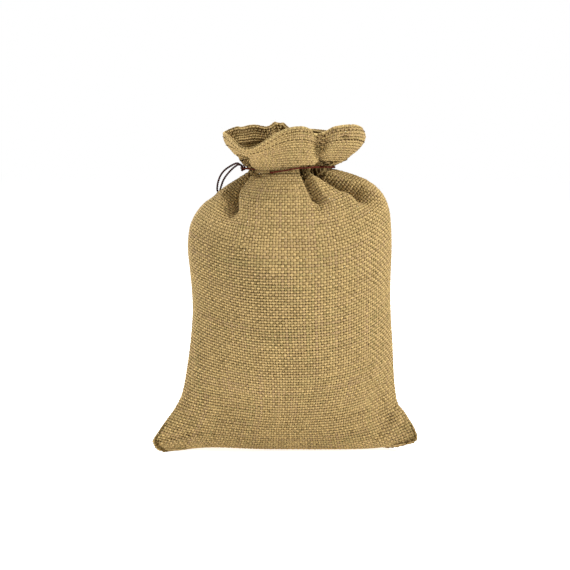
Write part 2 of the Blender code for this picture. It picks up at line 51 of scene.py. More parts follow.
# %% [markdown]
# ## The shape the cloth hangs in
# A filled sack is a bag that was once flat. Every place on it keeps two coordinates in millimetres
# of cloth: `across`, 0 at the middle of the front and + to the right, and `up`, 0 at the bottom
# seam and 280 at the rim. A modeller could sculpt such a form by hand, or let a cloth simulation
# settle it. Here the shape is calculated, because then each yarn can be laid along its own line
# of cloth, and the weave follows every fold with little stretch.
# The tables are those of the CAD part, drawn finer: four upright outlines here, and further down
# the lobes of the ruffle and the folds that the cord draws in.

# %% Sizes of the cloth, and its four upright outlines
MM = 0.001
CLOTH_ROUND = 410.0
HALF_ROUND = CLOTH_ROUND / 2
QUARTER_ROUND = CLOTH_ROUND / 4
CLOTH_UP = 280.0
WAIST_UP = 244.0

LEFT_OUTLINE = (
    # reach to the side, height
    (-84.0, -1.2), (-90.5, 0.6), (-94.8, 3.2), (-97.4, 7.2), (-97.2, 10.2), (-92.3, 17.8),
    (-86.6, 26.3), (-80.6, 35.6),
    (-77.0, 44.4), (-73.8, 62.0), (-71.5, 80.0), (-69.8, 101.0), (-70.2, 118.5), (-71.4, 132.5),
    (-72.7, 147.0), (-72.0, 159.0), (-69.8, 167.7), (-64.4, 176.8), (-55.4, 185.6),
    (-43.5, 194.2), (-34.0, 200.3), (-29.6, 204.6), (-33.0, 209.5), (-40.0, 218.0),
    (-45.5, 225.0), (-47.0, 232.5),
)
RIGHT_OUTLINE = (
    (82.0, 4.0), (88.0, 6.4), (92.6, 8.6), (94.8, 11.4), (93.6, 16.5), (90.4, 22.5), (86.0, 29.6),
    (81.8, 35.5), (79.8, 46.0), (78.4, 62.0), (77.6, 80.0), (76.4, 100.0), (75.9, 120.0),
    (76.6, 148.0), (75.8, 168.0), (74.2, 178.0), (70.6, 186.5), (65.0, 193.0), (57.5, 198.6),
    (49.0, 202.0), (40.5, 204.6), (34.0, 206.6), (41.0, 211.0), (49.0, 216.8), (54.5, 222.5),
    (57.0, 229.0), (54.0, 236.0),
)
FRONT_OUTLINE = (
    # place from front to back, height
    (8.0, -1.6), (-2.0, -1.6), (-11.0, -0.4), (-19.0, 7.0), (-28.0, 26.0), (-39.5, 57.0),
    (-47.5, 87.0), (-50.5, 112.0), (-50.5, 132.0), (-47.5, 152.0), (-42.5, 170.0),
    (-37.0, 186.0), (-31.0, 198.0), (-27.5, 205.0), (-28.5, 210.0), (-30.5, 224.0),
    (-33.0, 236.0),
)
BACK_OUTLINE = (
    (8.0, -1.6), (20.0, -1.6), (31.0, -0.2), (39.0, 9.0), (45.5, 40.0), (49.0, 90.0),
    (48.5, 130.0), (45.5, 158.0), (38.0, 178.0), (28.5, 196.5), (24.0, 205.0), (27.0, 211.5),
    (29.5, 219.0), (28.5, 227.0), (25.5, 234.5),
)
print("the cloth is", CLOTH_ROUND, "mm round and", CLOTH_UP, "mm up, and the cord sits at", WAIST_UP)

# %% Curves, outlines and small helpers
SHOULDER_FROM, WAIST_INWARD, FLOOR_SOFT = 70.0, 0.2, 1.2


def smoothstep(x):
    """0 below 0, 1 above 1, and between them 3x squared - 2x cubed, level at both ends."""
    x = np.clip(x, 0, 1)
    return x * x * (3 - 2 * x)


def through(points, count=60):
    """A smooth curve through points: on each span a cubic that leaves along the line between the
    neighbours on both sides (Catmull-Rom), read at `count` places."""
    p = np.array(points, float)
    p = np.vstack([2 * p[0] - p[1], p, 2 * p[-1] - p[-2]])
    a, b, c, d = p[:-3, None], p[1:-2, None], p[2:-1, None], p[3:, None]
    t = np.linspace(0, 1, count, endpoint=False)[None, :, None]
    spans = 0.5 * (2 * b + (c - a) * t + (2 * a - 5 * b + 4 * c - d) * t**2
                   + (3 * b - a - 3 * c + d) * t**3)
    return np.vstack([spans.reshape(-1, p.shape[1]), p[-2:-1]])


def lengths(points):
    """Distance along a line at each of its points: the running sum of its steps."""
    steps = np.linalg.norm(np.diff(points, axis=0), axis=1)
    return np.concatenate([[0.0], np.cumsum(steps)])


def outline_at(points, waist_height, up):
    """(reach, height) of an outline at cloth heights: cloth is fed evenly up to mid height, and
    what the outline is short of is eased in over the shoulder below the waist, which is the
    innermost place near its height."""
    curve = through(points)
    along = lengths(curve)
    from_waist = np.abs(curve[:, 1] - waist_height) + WAIST_INWARD * np.abs(curve[:, 0])
    waist = along[np.argmin(from_waist)]
    on_shoulder = smoothstep((along - SHOULDER_FROM) / (waist - SHOULDER_FROM))
    eased = along + (WAIST_UP - waist) * on_shoulder
    above = along > waist
    eased[above] = WAIST_UP + (along[above] - waist) * (CLOTH_UP - WAIST_UP) / (along[-1] - waist)
    return np.interp(up, eased, curve[:, 0]), np.interp(up, eased, curve[:, 1])


def unit(vectors):
    """Vectors divided by their own lengths, and left alone where they are nothing."""
    return vectors / np.maximum(np.linalg.norm(vectors, axis=-1, keepdims=True), 1e-9)


def across_gap(across, place):
    """Distance across the cloth to a place, the short way round."""
    return (across - place + HALF_ROUND) % CLOTH_ROUND - HALF_ROUND


def angle_gap(angle, place):
    """Degrees from a place to an angle, the short way round."""
    return (angle - place + 180) % 360 - 180


def on_floor(height):
    """Heights pressed onto the floor: 0 below it, and a parabola over a soft edge."""
    eased = np.where(height < FLOOR_SOFT, (height + FLOOR_SOFT) ** 2 / (4 * FLOOR_SOFT), height)
    return np.where(height < -FLOOR_SOFT, 0.0, eased)


print("the front outline is", round(lengths(through(FRONT_OUTLINE))[-1], 1), "mm long")

# %% The smooth loop of every row, before its folds
LOOP_STEPS = 1440
WAIST_HEIGHT, WAIST_HEIGHT_RIGHT = 205.0, 207.0
SEAM_BACK, SEAM_BOW, SEAM_BOW_UP = 8.0, 30.0, 110.0
SEAM_END_BACK, SEAM_END_UP = 6.8, 12.0
SEAM_WIDE, SEAM_WIDE_UP = 1.6, 8.0
FULL_UP, FULLER, FULLER_UNTIL, FULLER_EASE = 85.0, 0.10, 190.0, 40.0
END_SHARP, END_SHARP_LOST, END_SHARP_UP = 3.6, 0.9, 60.0
CORD_PINCH, CORD_PINCH_WIDE, LOBE_GROWTH = 1.6, 3.0, 1.6
LOBES = (
    # name, angle round the neck, spread, out, forward, rise
    ("left_front_dip", -34.0, 26.0, 2.0, 9.0, -16.0),
    ("front_panel", 4.0, 17.0, 0.0, 4.0, 1.5),
    ("right_valley", 25.5, 8.0, 0.0, -7.0, -4.5),
    ("right_front_lobe", 60.0, 20.0, 1.0, 9.0, 2.0),
    ("right_tip", 92.0, 14.0, 0.0, 6.0, 0.0),
    ("right_back_lobe", 118.0, 15.0, 4.0, -5.0, 2.0),
    ("right_back_valley", 140.0, 10.0, 0.0, 7.0, -1.0),
    ("back_right_lobe", 158.0, 12.0, 0.0, -8.0, 0.0),
    ("back_lobe_right", 183.0, 5.0, 0.0, -7.0, 4.6),
    ("back_lobe_left", 191.5, 5.0, 0.0, -7.0, 4.6),
    ("left_back_lobe", -147.0, 17.0, 0.0, -2.0, 4.0),
    ("left_back_valley", -117.0, 13.0, -4.0, 5.0, 3.5),
)


def smooth_loops(up):
    """x, y, z of every row's loop at even angles. A loop is an ellipse-like curve whose four ends
    lie on the four outlines. x follows the sine of the angle to a power just under 1, and y its
    cosine to a power that falls from 2 at the bottom seam to about 1. Each lobe of the ruffle adds
    a bell-shaped push that grows towards the rim."""
    angle = np.linspace(-math.pi, math.pi, LOOP_STEPS + 1)[None, :]
    up = up[:, None]
    left_x, left_z = outline_at(LEFT_OUTLINE, WAIST_HEIGHT, up)
    right_x, right_z = outline_at(RIGHT_OUTLINE, WAIST_HEIGHT_RIGHT, up)
    front_y, front_z = outline_at(FRONT_OUTLINE, WAIST_HEIGHT, up)
    back_y, back_z = outline_at(BACK_OUTLINE, WAIST_HEIGHT, up)
    side, facing = np.sin(angle), np.cos(angle)
    grown = smoothstep(up / FULL_UP)
    fuller = FULLER * (1 - smoothstep((up - FULLER_UNTIL) / FULLER_EASE))
    seam_y = (SEAM_BACK - SEAM_BOW) * (1 - smoothstep(up / SEAM_BOW_UP)) \
        + SEAM_END_BACK * (1 - smoothstep(up / SEAM_END_UP))
    seam_gap = 0.5 * SEAM_WIDE * (1 - smoothstep(up / SEAM_WIDE_UP))
    middle_y = np.where(facing > 0, front_y, back_y)
    middle_z = np.where(facing > 0, front_z, back_z)
    side_z = np.where(side > 0, right_z, left_z)
    reach = np.where(side > 0, right_x, -left_x)
    x = reach * np.sign(side) * np.abs(side) ** (1 - grown * fuller)
    y = seam_y + (middle_y - seam_y) * np.abs(facing) ** (2 - grown * (1 + fuller))
    y = y - seam_gap * np.sign(facing) * np.sqrt(np.abs(facing))
    sharp = END_SHARP - END_SHARP_LOST * smoothstep(up / END_SHARP_UP)
    z = middle_z + (side_z - middle_z) * np.abs(side) ** sharp
    rim = np.clip((up - WAIST_UP) / (CLOTH_UP - WAIST_UP), 0, 1)
    for _name, place, spread, out, forward, rise in LOBES:
        bump = np.exp(-((angle_gap(np.degrees(angle), place) / spread) ** 2)) * rim**LOBE_GROWTH
        x = x + bump * out * side
        y = y - bump * forward
        z = z + bump * rise
    pinch = CORD_PINCH * np.exp(-(((up - WAIST_UP) / CORD_PINCH_WIDE) ** 2))
    return np.stack([x - pinch * side, y + pinch * facing, on_floor(z)], axis=2)


waist_loop = smooth_loops(np.array([WAIST_UP]))[0]
print(len(LOBES), "lobes; the loop at the waist is", round(lengths(waist_loop)[-1]),
      "mm round, and its cloth is", CLOTH_ROUND, "mm")

# %% [markdown]
# ## Where the spare cloth goes
# The neck is far shorter round than the cloth, and the cord presses what is left over into folds. A
# cloth simulation would fold it by chance. Here each fold has its place, two walls and a depth in a
# table, and every row is gathered just enough to fit its loop.

# %% Folds: how a row takes up the cloth that its loop is too short for
WALL_HARD, FOLD_MOST, MOST_GATHER, HALVINGS, FINE_STEPS = 2.2, 0.82, 2.2, 24, 3200
FOLDS = (
    # name, place across, left wall, right wall, depth, below, above, lean below, lean above
    ("left_deep", -60.5, 20.0, 13.0, 12.0, 50.0, 20.0, 0.30, 0.0),
    ("front_pit", 25.0, 11.0, 12.0, 8.0, 38.0, 4.0, 0.1, 0.0),
    ("right_deep", 56.5, 18.0, 15.5, 13.0, 54.0, 8.0, 0.56, 0.0),
    ("right_side", 105.0, 11.0, 12.0, 8.5, 33.0, 16.0, 0.1, 0.0),
    ("right_back", 130.0, 13.0, 12.0, 9.5, 46.0, 24.0, 0.0, 0.05),
    ("back_one", 156.0, 13.0, 13.0, 10.0, 46.0, 34.0, 0.0, 0.0),
    ("back_two", 183.0, 13.0, 13.0, 10.0, 66.0, 18.0, 0.1, 0.0),
    ("back_three", -153.0, 14.0, 14.0, 10.0, 50.0, 15.0, -0.1, 0.0),
    ("back_four", -181.0, 13.0, 13.0, 9.0, 42.0, 15.0, 0.0, 0.0),
    ("left_back", -124.0, 14.0, 14.0, 10.0, 60.0, 18.0, 0.1, 0.0),
    ("left_side", -93.0, 13.0, 13.0, 9.0, 40.0, 16.0, -0.1, 0.0),
)


def wall_profile(t):
    """How steeply a wall of a fold stands along its length: a sine squared off by tanh."""
    return np.tanh(WALL_HARD * np.sin(math.pi * t)) / math.tanh(WALL_HARD)


# How deep a wall goes for each steepness: the mean sine of its angle along its length.
STEEP = np.linspace(0, 2.1, 211)
WALL_T = (np.arange(200) + 0.5) / 200
WALL_DEEP = np.sin(STEEP[:, None] * wall_profile(WALL_T)[None, :]).mean(axis=1)
DEEPEST = int(np.argmax(WALL_DEEP))


def steepness(deep):
    """The angle a wall stands at to go this deep, as a share of its own length."""
    return np.interp(deep, WALL_DEEP[: DEEPEST + 1], STEEP[: DEEPEST + 1])


def fold_angles(across, up, gather):
    """The angle between cloth and smooth loop, rows by places: each fold tips the cloth in over
    its left wall and out again over its right one, and fades above and below the waist."""
    angle = np.zeros((len(up), len(across)))
    past = up - WAIST_UP
    for _name, place, left_wall, right_wall, depth, below, above, lean_below, lean_above in FOLDS:
        middle = (place + np.where(past > 0, lean_above, -lean_below) * past)[:, None]
        off = across_gap(across[None, :], middle)
        reach = np.where(up < WAIST_UP, -past / below, past / above)
        deep = gather * depth * np.clip(1 - reach**2, 0, 1) ** 2
        deep = np.minimum(deep, FOLD_MOST * WALL_DEEP[DEEPEST] * min(left_wall, right_wall))
        wall = np.where(off < 0, left_wall, right_wall)
        steep = np.where(off < 0, steepness(deep / left_wall)[:, None],
                         -steepness(deep / right_wall)[:, None])
        angle += steep * wall_profile(np.clip(np.abs(off) / wall, 0, 1))
    return angle


def gathers(up, loop_length):
    """How hard each row is gathered. The width its folds leave is the mean cosine of their angles
    times the cloth, and halving steps find the gather that makes it as long as the loop."""
    across = (np.arange(FINE_STEPS // 4) + 0.5) * 4 * CLOTH_ROUND / FINE_STEPS - HALF_ROUND
    low, high = np.zeros(len(up)), np.full(len(up), MOST_GATHER)
    for _ in range(HALVINGS):
        middle = (low + high) / 2
        taken = np.cos(fold_angles(across, up, middle)).mean(axis=1) * CLOTH_ROUND
        low = np.where(taken > loop_length, middle, low)
        high = np.where(taken > loop_length, high, middle)
    return (low + high) / 2


print(len(FOLDS), "folds; a wall goes in by at most", round(WALL_DEEP[DEEPEST], 3), "of its length")

# %% The cloth's outer face, from its smooth loops and its folds
TIPS_HELD_UP, TIPS_HELD_EASE = 60.0, 90.0
LEVEL_FOLDS, LEVEL_FOLDS_BELOW, LEVEL_FOLDS_EASE = 0.6, 2.0, 8.0


def cloth_surface(up, columns):
    """Points of the cloth's outer face. Along a row the cloth moves on by the cosine of its fold
    angle and goes in by the sine, both summed from the middle of the front. On the lower rows the
    two side seams are held at the two ends of the loop, where the ears are."""
    loops = smooth_loops(up)
    steps = np.linalg.norm(np.diff(loops, axis=1), axis=2)
    along = np.concatenate([np.zeros((len(up), 1)), np.cumsum(steps, axis=1)], axis=1)
    whole = along[:, -1]
    front = along[:, LOOP_STEPS // 2]
    tips = along[:, [LOOP_STEPS // 4, 3 * LOOP_STEPS // 4]]
    held = 1 - smoothstep((up - TIPS_HELD_UP) / TIPS_HELD_EASE)
    step = CLOTH_ROUND / FINE_STEPS
    fine = (np.arange(FINE_STEPS) + 0.5) * step - HALF_ROUND
    angle = fold_angles(fine, up, gathers(up, whole))
    edges = np.linspace(-HALF_ROUND, HALF_ROUND, FINE_STEPS + 1)
    none = np.zeros((len(up), 1))
    flat = np.concatenate([none, np.cumsum(np.cos(angle), axis=1) * step], axis=1)
    deep = np.concatenate([none, np.cumsum(np.sin(angle), axis=1) * step], axis=1)
    flat *= (whole / flat[:, -1])[:, None]
    inward = np.cross(np.gradient(loops, up, axis=0), np.gradient(loops, axis=1))
    above_cord = smoothstep((up - WAIST_UP + LEVEL_FOLDS_BELOW) / LEVEL_FOLDS_EASE)
    inward[:, :, 2] *= 1 - LEVEL_FOLDS * above_cord[:, None]
    inward = unit(inward)
    sides = [-QUARTER_ROUND, QUARTER_ROUND]
    points = np.empty((len(up), len(columns), 3))
    for row in range(len(up)):
        start = front[row] - np.interp(0.0, edges, flat[row])
        place = start + np.interp(columns, edges, flat[row])
        pull = held[row] * (tips[row] - start - np.interp(sides, edges, flat[row]))
        place = (place + np.interp(columns, sides, pull, period=CLOTH_ROUND)) % whole[row]
        depth = np.interp(columns, edges, deep[row])
        for axis in range(3):
            points[row, :, axis] = np.interp(place, along[row], loops[row, :, axis]) \
                + depth * np.interp(place, along[row], inward[row, :, axis])
    return points


ROWS = np.arange(0.0, CLOTH_UP + 0.5, 1.0)
COLUMN_WIDE = 0.5
COLUMNS = np.arange(-HALF_ROUND, HALF_ROUND, COLUMN_WIDE)
outer_face = cloth_surface(ROWS, COLUMNS)
print("cloth worked out at", outer_face.shape[0], "x", outer_face.shape[1], "places, top at",
      round(outer_face[:, :, 2].max(), 1), "mm")

# %% [markdown]
# ## Soft creases and the side seams
# A real sack is never as smooth as its calculated form. Handling leaves soft troughs and ridges,
# the filling pushes out low bumps, and each side seam lies in a small groove, with its turned-in
# edge behind it. Noise could roughen the form, but it would look the same everywhere. So each
# crease is listed with its place in a short table, and the surface is moved along its own normals.

# %% Push the creases and the seam grooves into the cloth
CREASES = (
    # name, across, up, angle from level, half length, half width, height (+ out)
    ("left_ear_pull", -84.0, 46.0, 62.0, 26.0, 5.0, -0.9),
    ("left_ear_ridge", -92.0, 40.0, 70.0, 22.0, 4.5, 0.9),
    ("right_ear_pull", 86.0, 44.0, 118.0, 26.0, 5.0, -0.9),
    ("right_ear_ridge", 94.0, 36.0, 112.0, 20.0, 4.5, 0.8),
    ("front_hollow", -55.0, 94.0, 88.0, 76.0, 27.0, -4.4),
    ("front_swell", -18.0, 176.0, -36.0, 38.0, 17.0, 3.4),
    ("right_valley", 39.5, 265.0, 98.0, 18.0, 5.6, -6.5),
    ("cord_tuck", -36.0, 240.8, -15.0, 9.0, 1.5, -1.6),
    ("right_lobe_dimple", 64.0, 272.0, -18.0, 5.0, 2.2, -1.6),
    ("right_lobe_line", 80.0, 269.0, -6.0, 11.0, 1.2, -0.6),
    ("right_ear_fold", 82.0, 33.0, 33.0, 14.0, 2.6, -1.5),
    ("right_ear_puff", 90.0, 29.0, 33.0, 12.0, 5.0, 1.2),
    ("left_ear_fold", -86.0, 26.0, 30.0, 15.0, 2.6, -1.2),
    ("low_front_dent", 26.0, 66.0, 20.0, 24.0, 13.0, -0.9),
    ("low_left_dent", -44.0, 58.0, 160.0, 22.0, 12.0, -0.8),
    ("left_flank", -78.0, 140.0, 88.0, 40.0, 12.0, 0.9),
    ("right_flank", 70.0, 130.0, 92.0, 44.0, 14.0, 0.8),
    ("back_hollow", 190.0, 130.0, 95.0, 50.0, 18.0, -1.3),
    ("back_swell", -160.0, 110.0, 80.0, 44.0, 18.0, 1.1),
    ("back_low_dent", 160.0, 62.0, 24.0, 28.0, 14.0, -1.0),
)
GROOVE_DEEP, GROOVE_WIDE, GROOVE_FROM_UP, GROOVE_EASE = 0.8, 1.3, 30.0, 20.0


def crease_height(across, up):
    """Sum of the creases: each is a bell across its line times a wider bell along it. The seams
    are narrow bells at the two sides, fading out at the ears, where the cloth turns anyway."""
    height = np.zeros(np.broadcast(across, up).shape)
    for _name, place, middle, angle, half_long, half_wide, rise in CREASES:
        right, above = across_gap(across, place), up - middle
        turn = math.radians(angle)
        along = right * math.cos(turn) + above * math.sin(turn)
        beside = above * math.cos(turn) - right * math.sin(turn)
        height = height + rise * np.exp(-((along / half_long) ** 2) - (beside / half_wide) ** 2)
    for seam in (-QUARTER_ROUND, QUARTER_ROUND):
        off = across_gap(across, seam)
        height = height - GROOVE_DEEP * np.exp(-((off / GROOVE_WIDE) ** 2)) \
            * smoothstep((up - GROOVE_FROM_UP) / GROOVE_EASE)
    return height


def directions(points):
    """(outward normals, directions up the cloth) of a grid of rows that close round: the normal
    is square to the steps across and up at each place."""
    ring = np.concatenate([points[:, -1:], points, points[:, :1]], axis=1)
    step_across = ring[:, 2:] - ring[:, :-2]
    step_up = np.gradient(points, axis=0)
    return unit(np.cross(step_across, step_up)), unit(step_up)


outward, _ = directions(outer_face)
outer_face = outer_face + outward * crease_height(COLUMNS[None, :], ROWS[:, None])[..., None]
outer_face[:, :, 2] = np.maximum(outer_face[:, :, 2], 0.0)
outward, upward = directions(outer_face)
print(len(CREASES), "creases and 2 seam grooves; the base still rests at",
      round(outer_face[:, :, 2].min(), 3), "mm")

# %% [markdown]
# ## Finding a place on the cloth
# A warp yarn runs up the outer face, over the rim and down again inside the hem. Its `run` is the
# length from the bottom seam along that path. `on_cloth` turns (across, run) into a point in the
# middle of the cloth's thickness and the direction that points out of the cloth there. Both are
# read from the grid by mixing the four nearest places, which is quick for a million places.

# %% The path over the rim, and a place on it
CLOTH_INSET = 0.75
TURN_RADIUS = 0.65
TURN_AT = CLOTH_UP - CLOTH_INSET - TURN_RADIUS
TURN_LONG = math.pi * TURN_RADIUS
HEM_LONG = 12.0
EDGE_PRESSED, EDGE_LONG = 0.85, 3.5
RUN_LONG = TURN_AT + TURN_LONG + HEM_LONG


def from_grid(grid, across, up):
    """Grid values at any place: linear between rows and between columns, which close round."""
    column = ((across + HALF_ROUND) / COLUMN_WIDE) % len(COLUMNS)
    left = np.floor(column).astype(int)
    row = np.clip(up, 0, CLOTH_UP - 1e-6)
    below = np.floor(row).astype(int)
    right = (left + 1) % len(COLUMNS)
    left = left % len(COLUMNS)
    side, rise = (column - np.floor(column))[..., None], (row - below)[..., None]
    low = grid[below, left] * (1 - side) + grid[below, right] * side
    high = grid[below + 1, left] * (1 - side) + grid[below + 1, right] * side
    return low * (1 - rise) + high * rise


def on_cloth(across, run, proud=0.0):
    """(points, outward directions) at places on the cloth. Up to the turn the run is the height
    up the cloth. Round the turn the height follows the sine and the depth one minus the cosine of
    the angle gone round, and after it the run goes back down at the hem's depth. The raw edge is
    pressed towards the wall."""
    across, run, proud = np.broadcast_arrays(across, run, proud)
    turned = np.clip((run - TURN_AT) / TURN_RADIUS, 0, math.pi)
    up = np.minimum(run, TURN_AT) + TURN_RADIUS * np.sin(turned) \
        - np.maximum(run - TURN_AT - TURN_LONG, 0)
    inset = CLOTH_INSET + TURN_RADIUS * (1 - np.cos(turned)) \
        - EDGE_PRESSED * smoothstep((run - RUN_LONG + EDGE_LONG) / EDGE_LONG)
    normal = from_grid(outward, across, up)
    rise = from_grid(upward, across, up)
    out = unit(normal * np.cos(turned)[..., None] + rise * np.sin(turned)[..., None])
    face = from_grid(outer_face, across, up)
    return face - unit(normal) * inset[..., None] + out * proud[..., None], out


print("a warp yarn runs", round(RUN_LONG, 1), "mm from the bottom seam to the hem's raw edge")

# %% [markdown]
# ## Tubes: one way to make every yarn, cord, stitch and hair
# All of these are a small profile carried along a path. Blender's curves could bevel them, but
# three hundred yarns are quicker as one array: `strands` takes the ring points of many tubes at
# once and joins ring to ring with quads. Each tube gets two UV maps. "strand" holds millimetres
# along and around, for the fibres in the material, and "OFBake" lays the tubes side by side in
# a square, for anyone who wants to bake the colours to a picture.

# %% Make a mesh from the rings of many strands
FIBRE_SHIFT, BAKE_GAP = 9.7, 0.05


def linked(name, data):
    """A new object of this data, put in the scene."""
    made = bpy.data.objects.new(name, data)
    bpy.context.scene.collection.objects.link(made)
    return made


def strands(name, rings, looped=False, tone=None, first=0, painted_crown_shade=None):
    """One mesh of many tubes. rings[s, k, m] is point m of ring k of tube s, in millimetres. Quads
    join each ring to the next one, and the last to the first if the tubes are looped. If they are
    not, both ends are closed. What would go below the floor is pressed flat on it."""
    rings[..., 2] = np.maximum(rings[..., 2], 0.0)
    tubes, count, sides = rings.shape[:3]
    spans = count if looped else count - 1
    s, k, m = np.meshgrid(np.arange(tubes), np.arange(spans), np.arange(sides), indexing="ij")

    def vertex(ring, side):
        return (s * count + ring % count) * sides + side % sides

    quads = np.stack([vertex(k, m), vertex(k + 1, m), vertex(k + 1, m + 1), vertex(k, m + 1)],
                     axis=-1).reshape(-1)
    caps = np.zeros(0, int)
    if not looped:
        base = (np.arange(tubes) * count * sides)[:, None]
        start = base + np.arange(sides)[None, :]
        end = base + (count - 1) * sides + np.arange(sides)[None, ::-1]
        caps = np.concatenate([start, end]).reshape(-1)
    closing = rings[:, [0]] if looped else rings[:, :0]
    centres = np.concatenate([rings, closing], axis=1).mean(axis=2)
    steps = np.linalg.norm(np.diff(centres, axis=1), axis=2)
    along = np.concatenate([np.zeros((tubes, 1)), np.cumsum(steps, axis=1)], axis=1)
    side_long = np.linalg.norm(rings[:, 0, 1] - rings[:, 0, 0], axis=1)

    def loops_of(low, high):
        return np.stack([low, high, high, low], axis=-1)

    gone = loops_of(along[s, k], along[s, k + 1])
    round_it = np.stack([m, m, m + 1, m + 1], axis=-1)
    number = first + s[..., None]
    fibres = np.stack([gone, number * FIBRE_SHIFT + round_it * side_long[s][..., None]], axis=-1)
    in_strip = BAKE_GAP + (1 - 2 * BAKE_GAP) * round_it / sides
    strip = np.stack([loops_of(k, k + 1) / spans, (s[..., None] + in_strip) / tubes], axis=-1)
    mesh = bpy.data.meshes.new(name)
    mesh.vertices.add(tubes * count * sides)
    mesh.vertices.foreach_set("co", (rings * MM).astype(np.float32).ravel())
    corners = np.concatenate([quads, caps]).astype(np.int32)
    mesh.loops.add(len(corners))
    mesh.loops.foreach_set("vertex_index", corners)
    starts = np.concatenate([np.arange(0, len(quads), 4), len(quads) + np.arange(0, len(caps), sides)])
    mesh.polygons.add(len(starts))
    mesh.polygons.foreach_set("loop_start", starts.astype(np.int32))
    mesh.update(calc_edges=True)
    for label, values in (("strand", fibres), ("OFBake", strip)):
        flat = np.zeros((len(corners), 2), np.float32)
        flat[: len(quads)] = values.reshape(-1, 2)
        if len(caps):
            flat[len(quads):] = flat[0]
            flat[len(quads):, 0] = 0.0
        mesh.uv_layers.new(name=label).data.foreach_set("uv", flat.ravel())
    for label, values in (("tone", tone), ("painted_crown_shade", painted_crown_shade)):
        if values is not None:
            each = np.broadcast_to(np.asarray(values)[..., None], (tubes, count, sides))
            data = mesh.attributes.new(label, "FLOAT", "POINT").data
            data.foreach_set("value", each.astype(np.float32).ravel())
    mesh.shade_smooth()
    return linked(name, mesh)


def triangles(obj):
    """How many triangles a mesh comes to: each face has two fewer than it has corners."""
    return len(obj.data.loops) - 2 * len(obj.data.polygons)


print("the fibre pattern moves on by", FIBRE_SHIFT, "mm from each tube to the next")

# %% Carry a profile along many paths


def rings_along(path, out, profile, wide=1.0, thick=1.0):
    """Rings of a profile of (sideways, outward) points carried along paths of shape (tube, ring):
    each profile point goes sideways by `wide` times its first number and outwards by `thick`
    times its second. Sideways is square to the path and to `out`."""
    forward = np.gradient(path, axis=1)
    return rings_facing(path, forward, out, profile, wide, thick)


def rings_facing(path, forward, out, profile, wide=1.0, thick=1.0):
    """As rings_along, with the forward direction given."""
    sideways = unit(np.cross(forward, out))
    square = unit(np.cross(sideways, forward))
    wide, thick = (np.broadcast_to(size, path.shape[:2])[..., None, None] for size in (wide, thick))
    return path[:, :, None] + sideways[:, :, None] * profile[:, 0][None, None, :, None] * wide \
        + square[:, :, None] * profile[:, 1][None, None, :, None] * thick


one_step = np.array([[(0.0, 0.0, 0.0), (0.0, 1.0, 0.0)]])
tried = rings_along(one_step, np.array((0.0, 0.0, 1.0)), np.array([(1.0, 0.0), (0.0, 1.0)]))
print("on a path along y, one unit sideways is", tried[0, 0, 0], "and one unit out is", tried[0, 0, 1])

# %% [markdown]
# ## The weave
# Hessian is a plain weave: every weft goes over one warp and under the next. At this size the
# yarns are as coarse as the holes between them, so a flat sheet with a picture of a weave would
# look painted on. Each yarn is a real tube here instead, a little flattened, thick and thin along
# its length as jute is, and wandering slightly from its line. Four sides are enough for a yarn
# under two millimetres wide once the normals are smooth.

# %% How yarns rise, fall, swell and wander
random = np.random.default_rng(12)
WARPS, WEFTS = 192, 139
WARP_PITCH, WEFT_PITCH = CLOTH_ROUND / WARPS, RUN_LONG / WEFTS
WARP_HALF_WIDE, WEFT_HALF_WIDE, YARN_HALF_THICK, YARN_RISE = 0.88, 0.92, 0.38, 0.38
WANDER, SWELL, FATTEN = (6, 0.10), (9, 0.05), (9, 0.06)  # rings from change to change, spread
WARP_SLUBS, WEFT_SLUBS = (0.25, 5, 0.35), (0.4, 6, 0.4)  # chance, half length in rings, height
SLUB_TRIES, SLUB_HEIGHTS, SLUB_LENGTHS, CLOSING_PART = 3, (0.3, 1.0), (0.6, 1.5), 0.1
NUB_SPREAD, YARN_SPREAD, TONE_DRIFT, WARP_PAINTED_SHADE = 0.5, 0.2, (22, 0.1), 1.6
YARN_PIECES, NUMBERS_APART, FIRST_WEFT_NUMBER, LOWEST_RUN = 3, 64, 300, 0.4
YARN_PROFILE = np.array([(1.0, 0.0), (0.0, 1.0), (-1.0, 0.0), (0.0, -1.0)])


def drifting(tubes, count, every, spread):
    """Slow random change along each tube: normal random numbers every few rings, with smooth
    steps between them."""
    knots = random.normal(0.0, spread, (tubes, count // every + 3))
    at = np.arange(count) / every
    low = at.astype(int)
    share = smoothstep(at - low)[None, :]
    return knots[:, low] * (1 - share) + knots[:, low + 1] * share


def looping(values):
    """Values along a closed tube, eased over its last part so that its end meets its start."""
    count = values.shape[1]
    start = (1 - CLOSING_PART) * count
    ease = smoothstep((np.arange(count) - start) / (CLOSING_PART * count))[None, :]
    return values * (1 - ease) + values[:, [0]] * ease


def slubs(tubes, count, chance, half_long, most):
    """Thick places: bells of random height at random rings, for a share of the tubes."""
    extra = np.zeros((tubes, count))
    at = np.arange(count)[None, :]
    for _ in range(SLUB_TRIES):
        middle = random.uniform(0, count, (tubes, 1))
        high = random.uniform(*SLUB_HEIGHTS, (tubes, 1)) * most * (random.random((tubes, 1)) < chance)
        long = half_long * random.uniform(*SLUB_LENGTHS, (tubes, 1))
        extra += high * np.exp(-(((at - middle) / long) ** 2))
    return extra


def yarn_tones(tubes, count):
    """Light and dark of each yarn, its slow change along it, and the chance of each crossing."""
    each = np.repeat(random.normal(0.0, NUB_SPREAD, (tubes, count // 2)), 2, axis=1)
    return random.normal(0.0, YARN_SPREAD, (tubes, 1)) + drifting(tubes, count, *TONE_DRIFT) + each


def yarn_sizes(tubes, count, half_wide, lumps, closed=False):
    """Half widths and half thicknesses along yarns: a mean size times one plus its slow drift, and
    for the width plus the slubs. Closed yarns meet their own start."""
    close = looping if closed else np.asarray
    wide = half_wide * (1 + close(drifting(tubes, count, *SWELL)) + slubs(tubes, count, *lumps))
    thick = YARN_HALF_THICK * (1 + close(drifting(tubes, count, *FATTEN)))
    return wide, thick


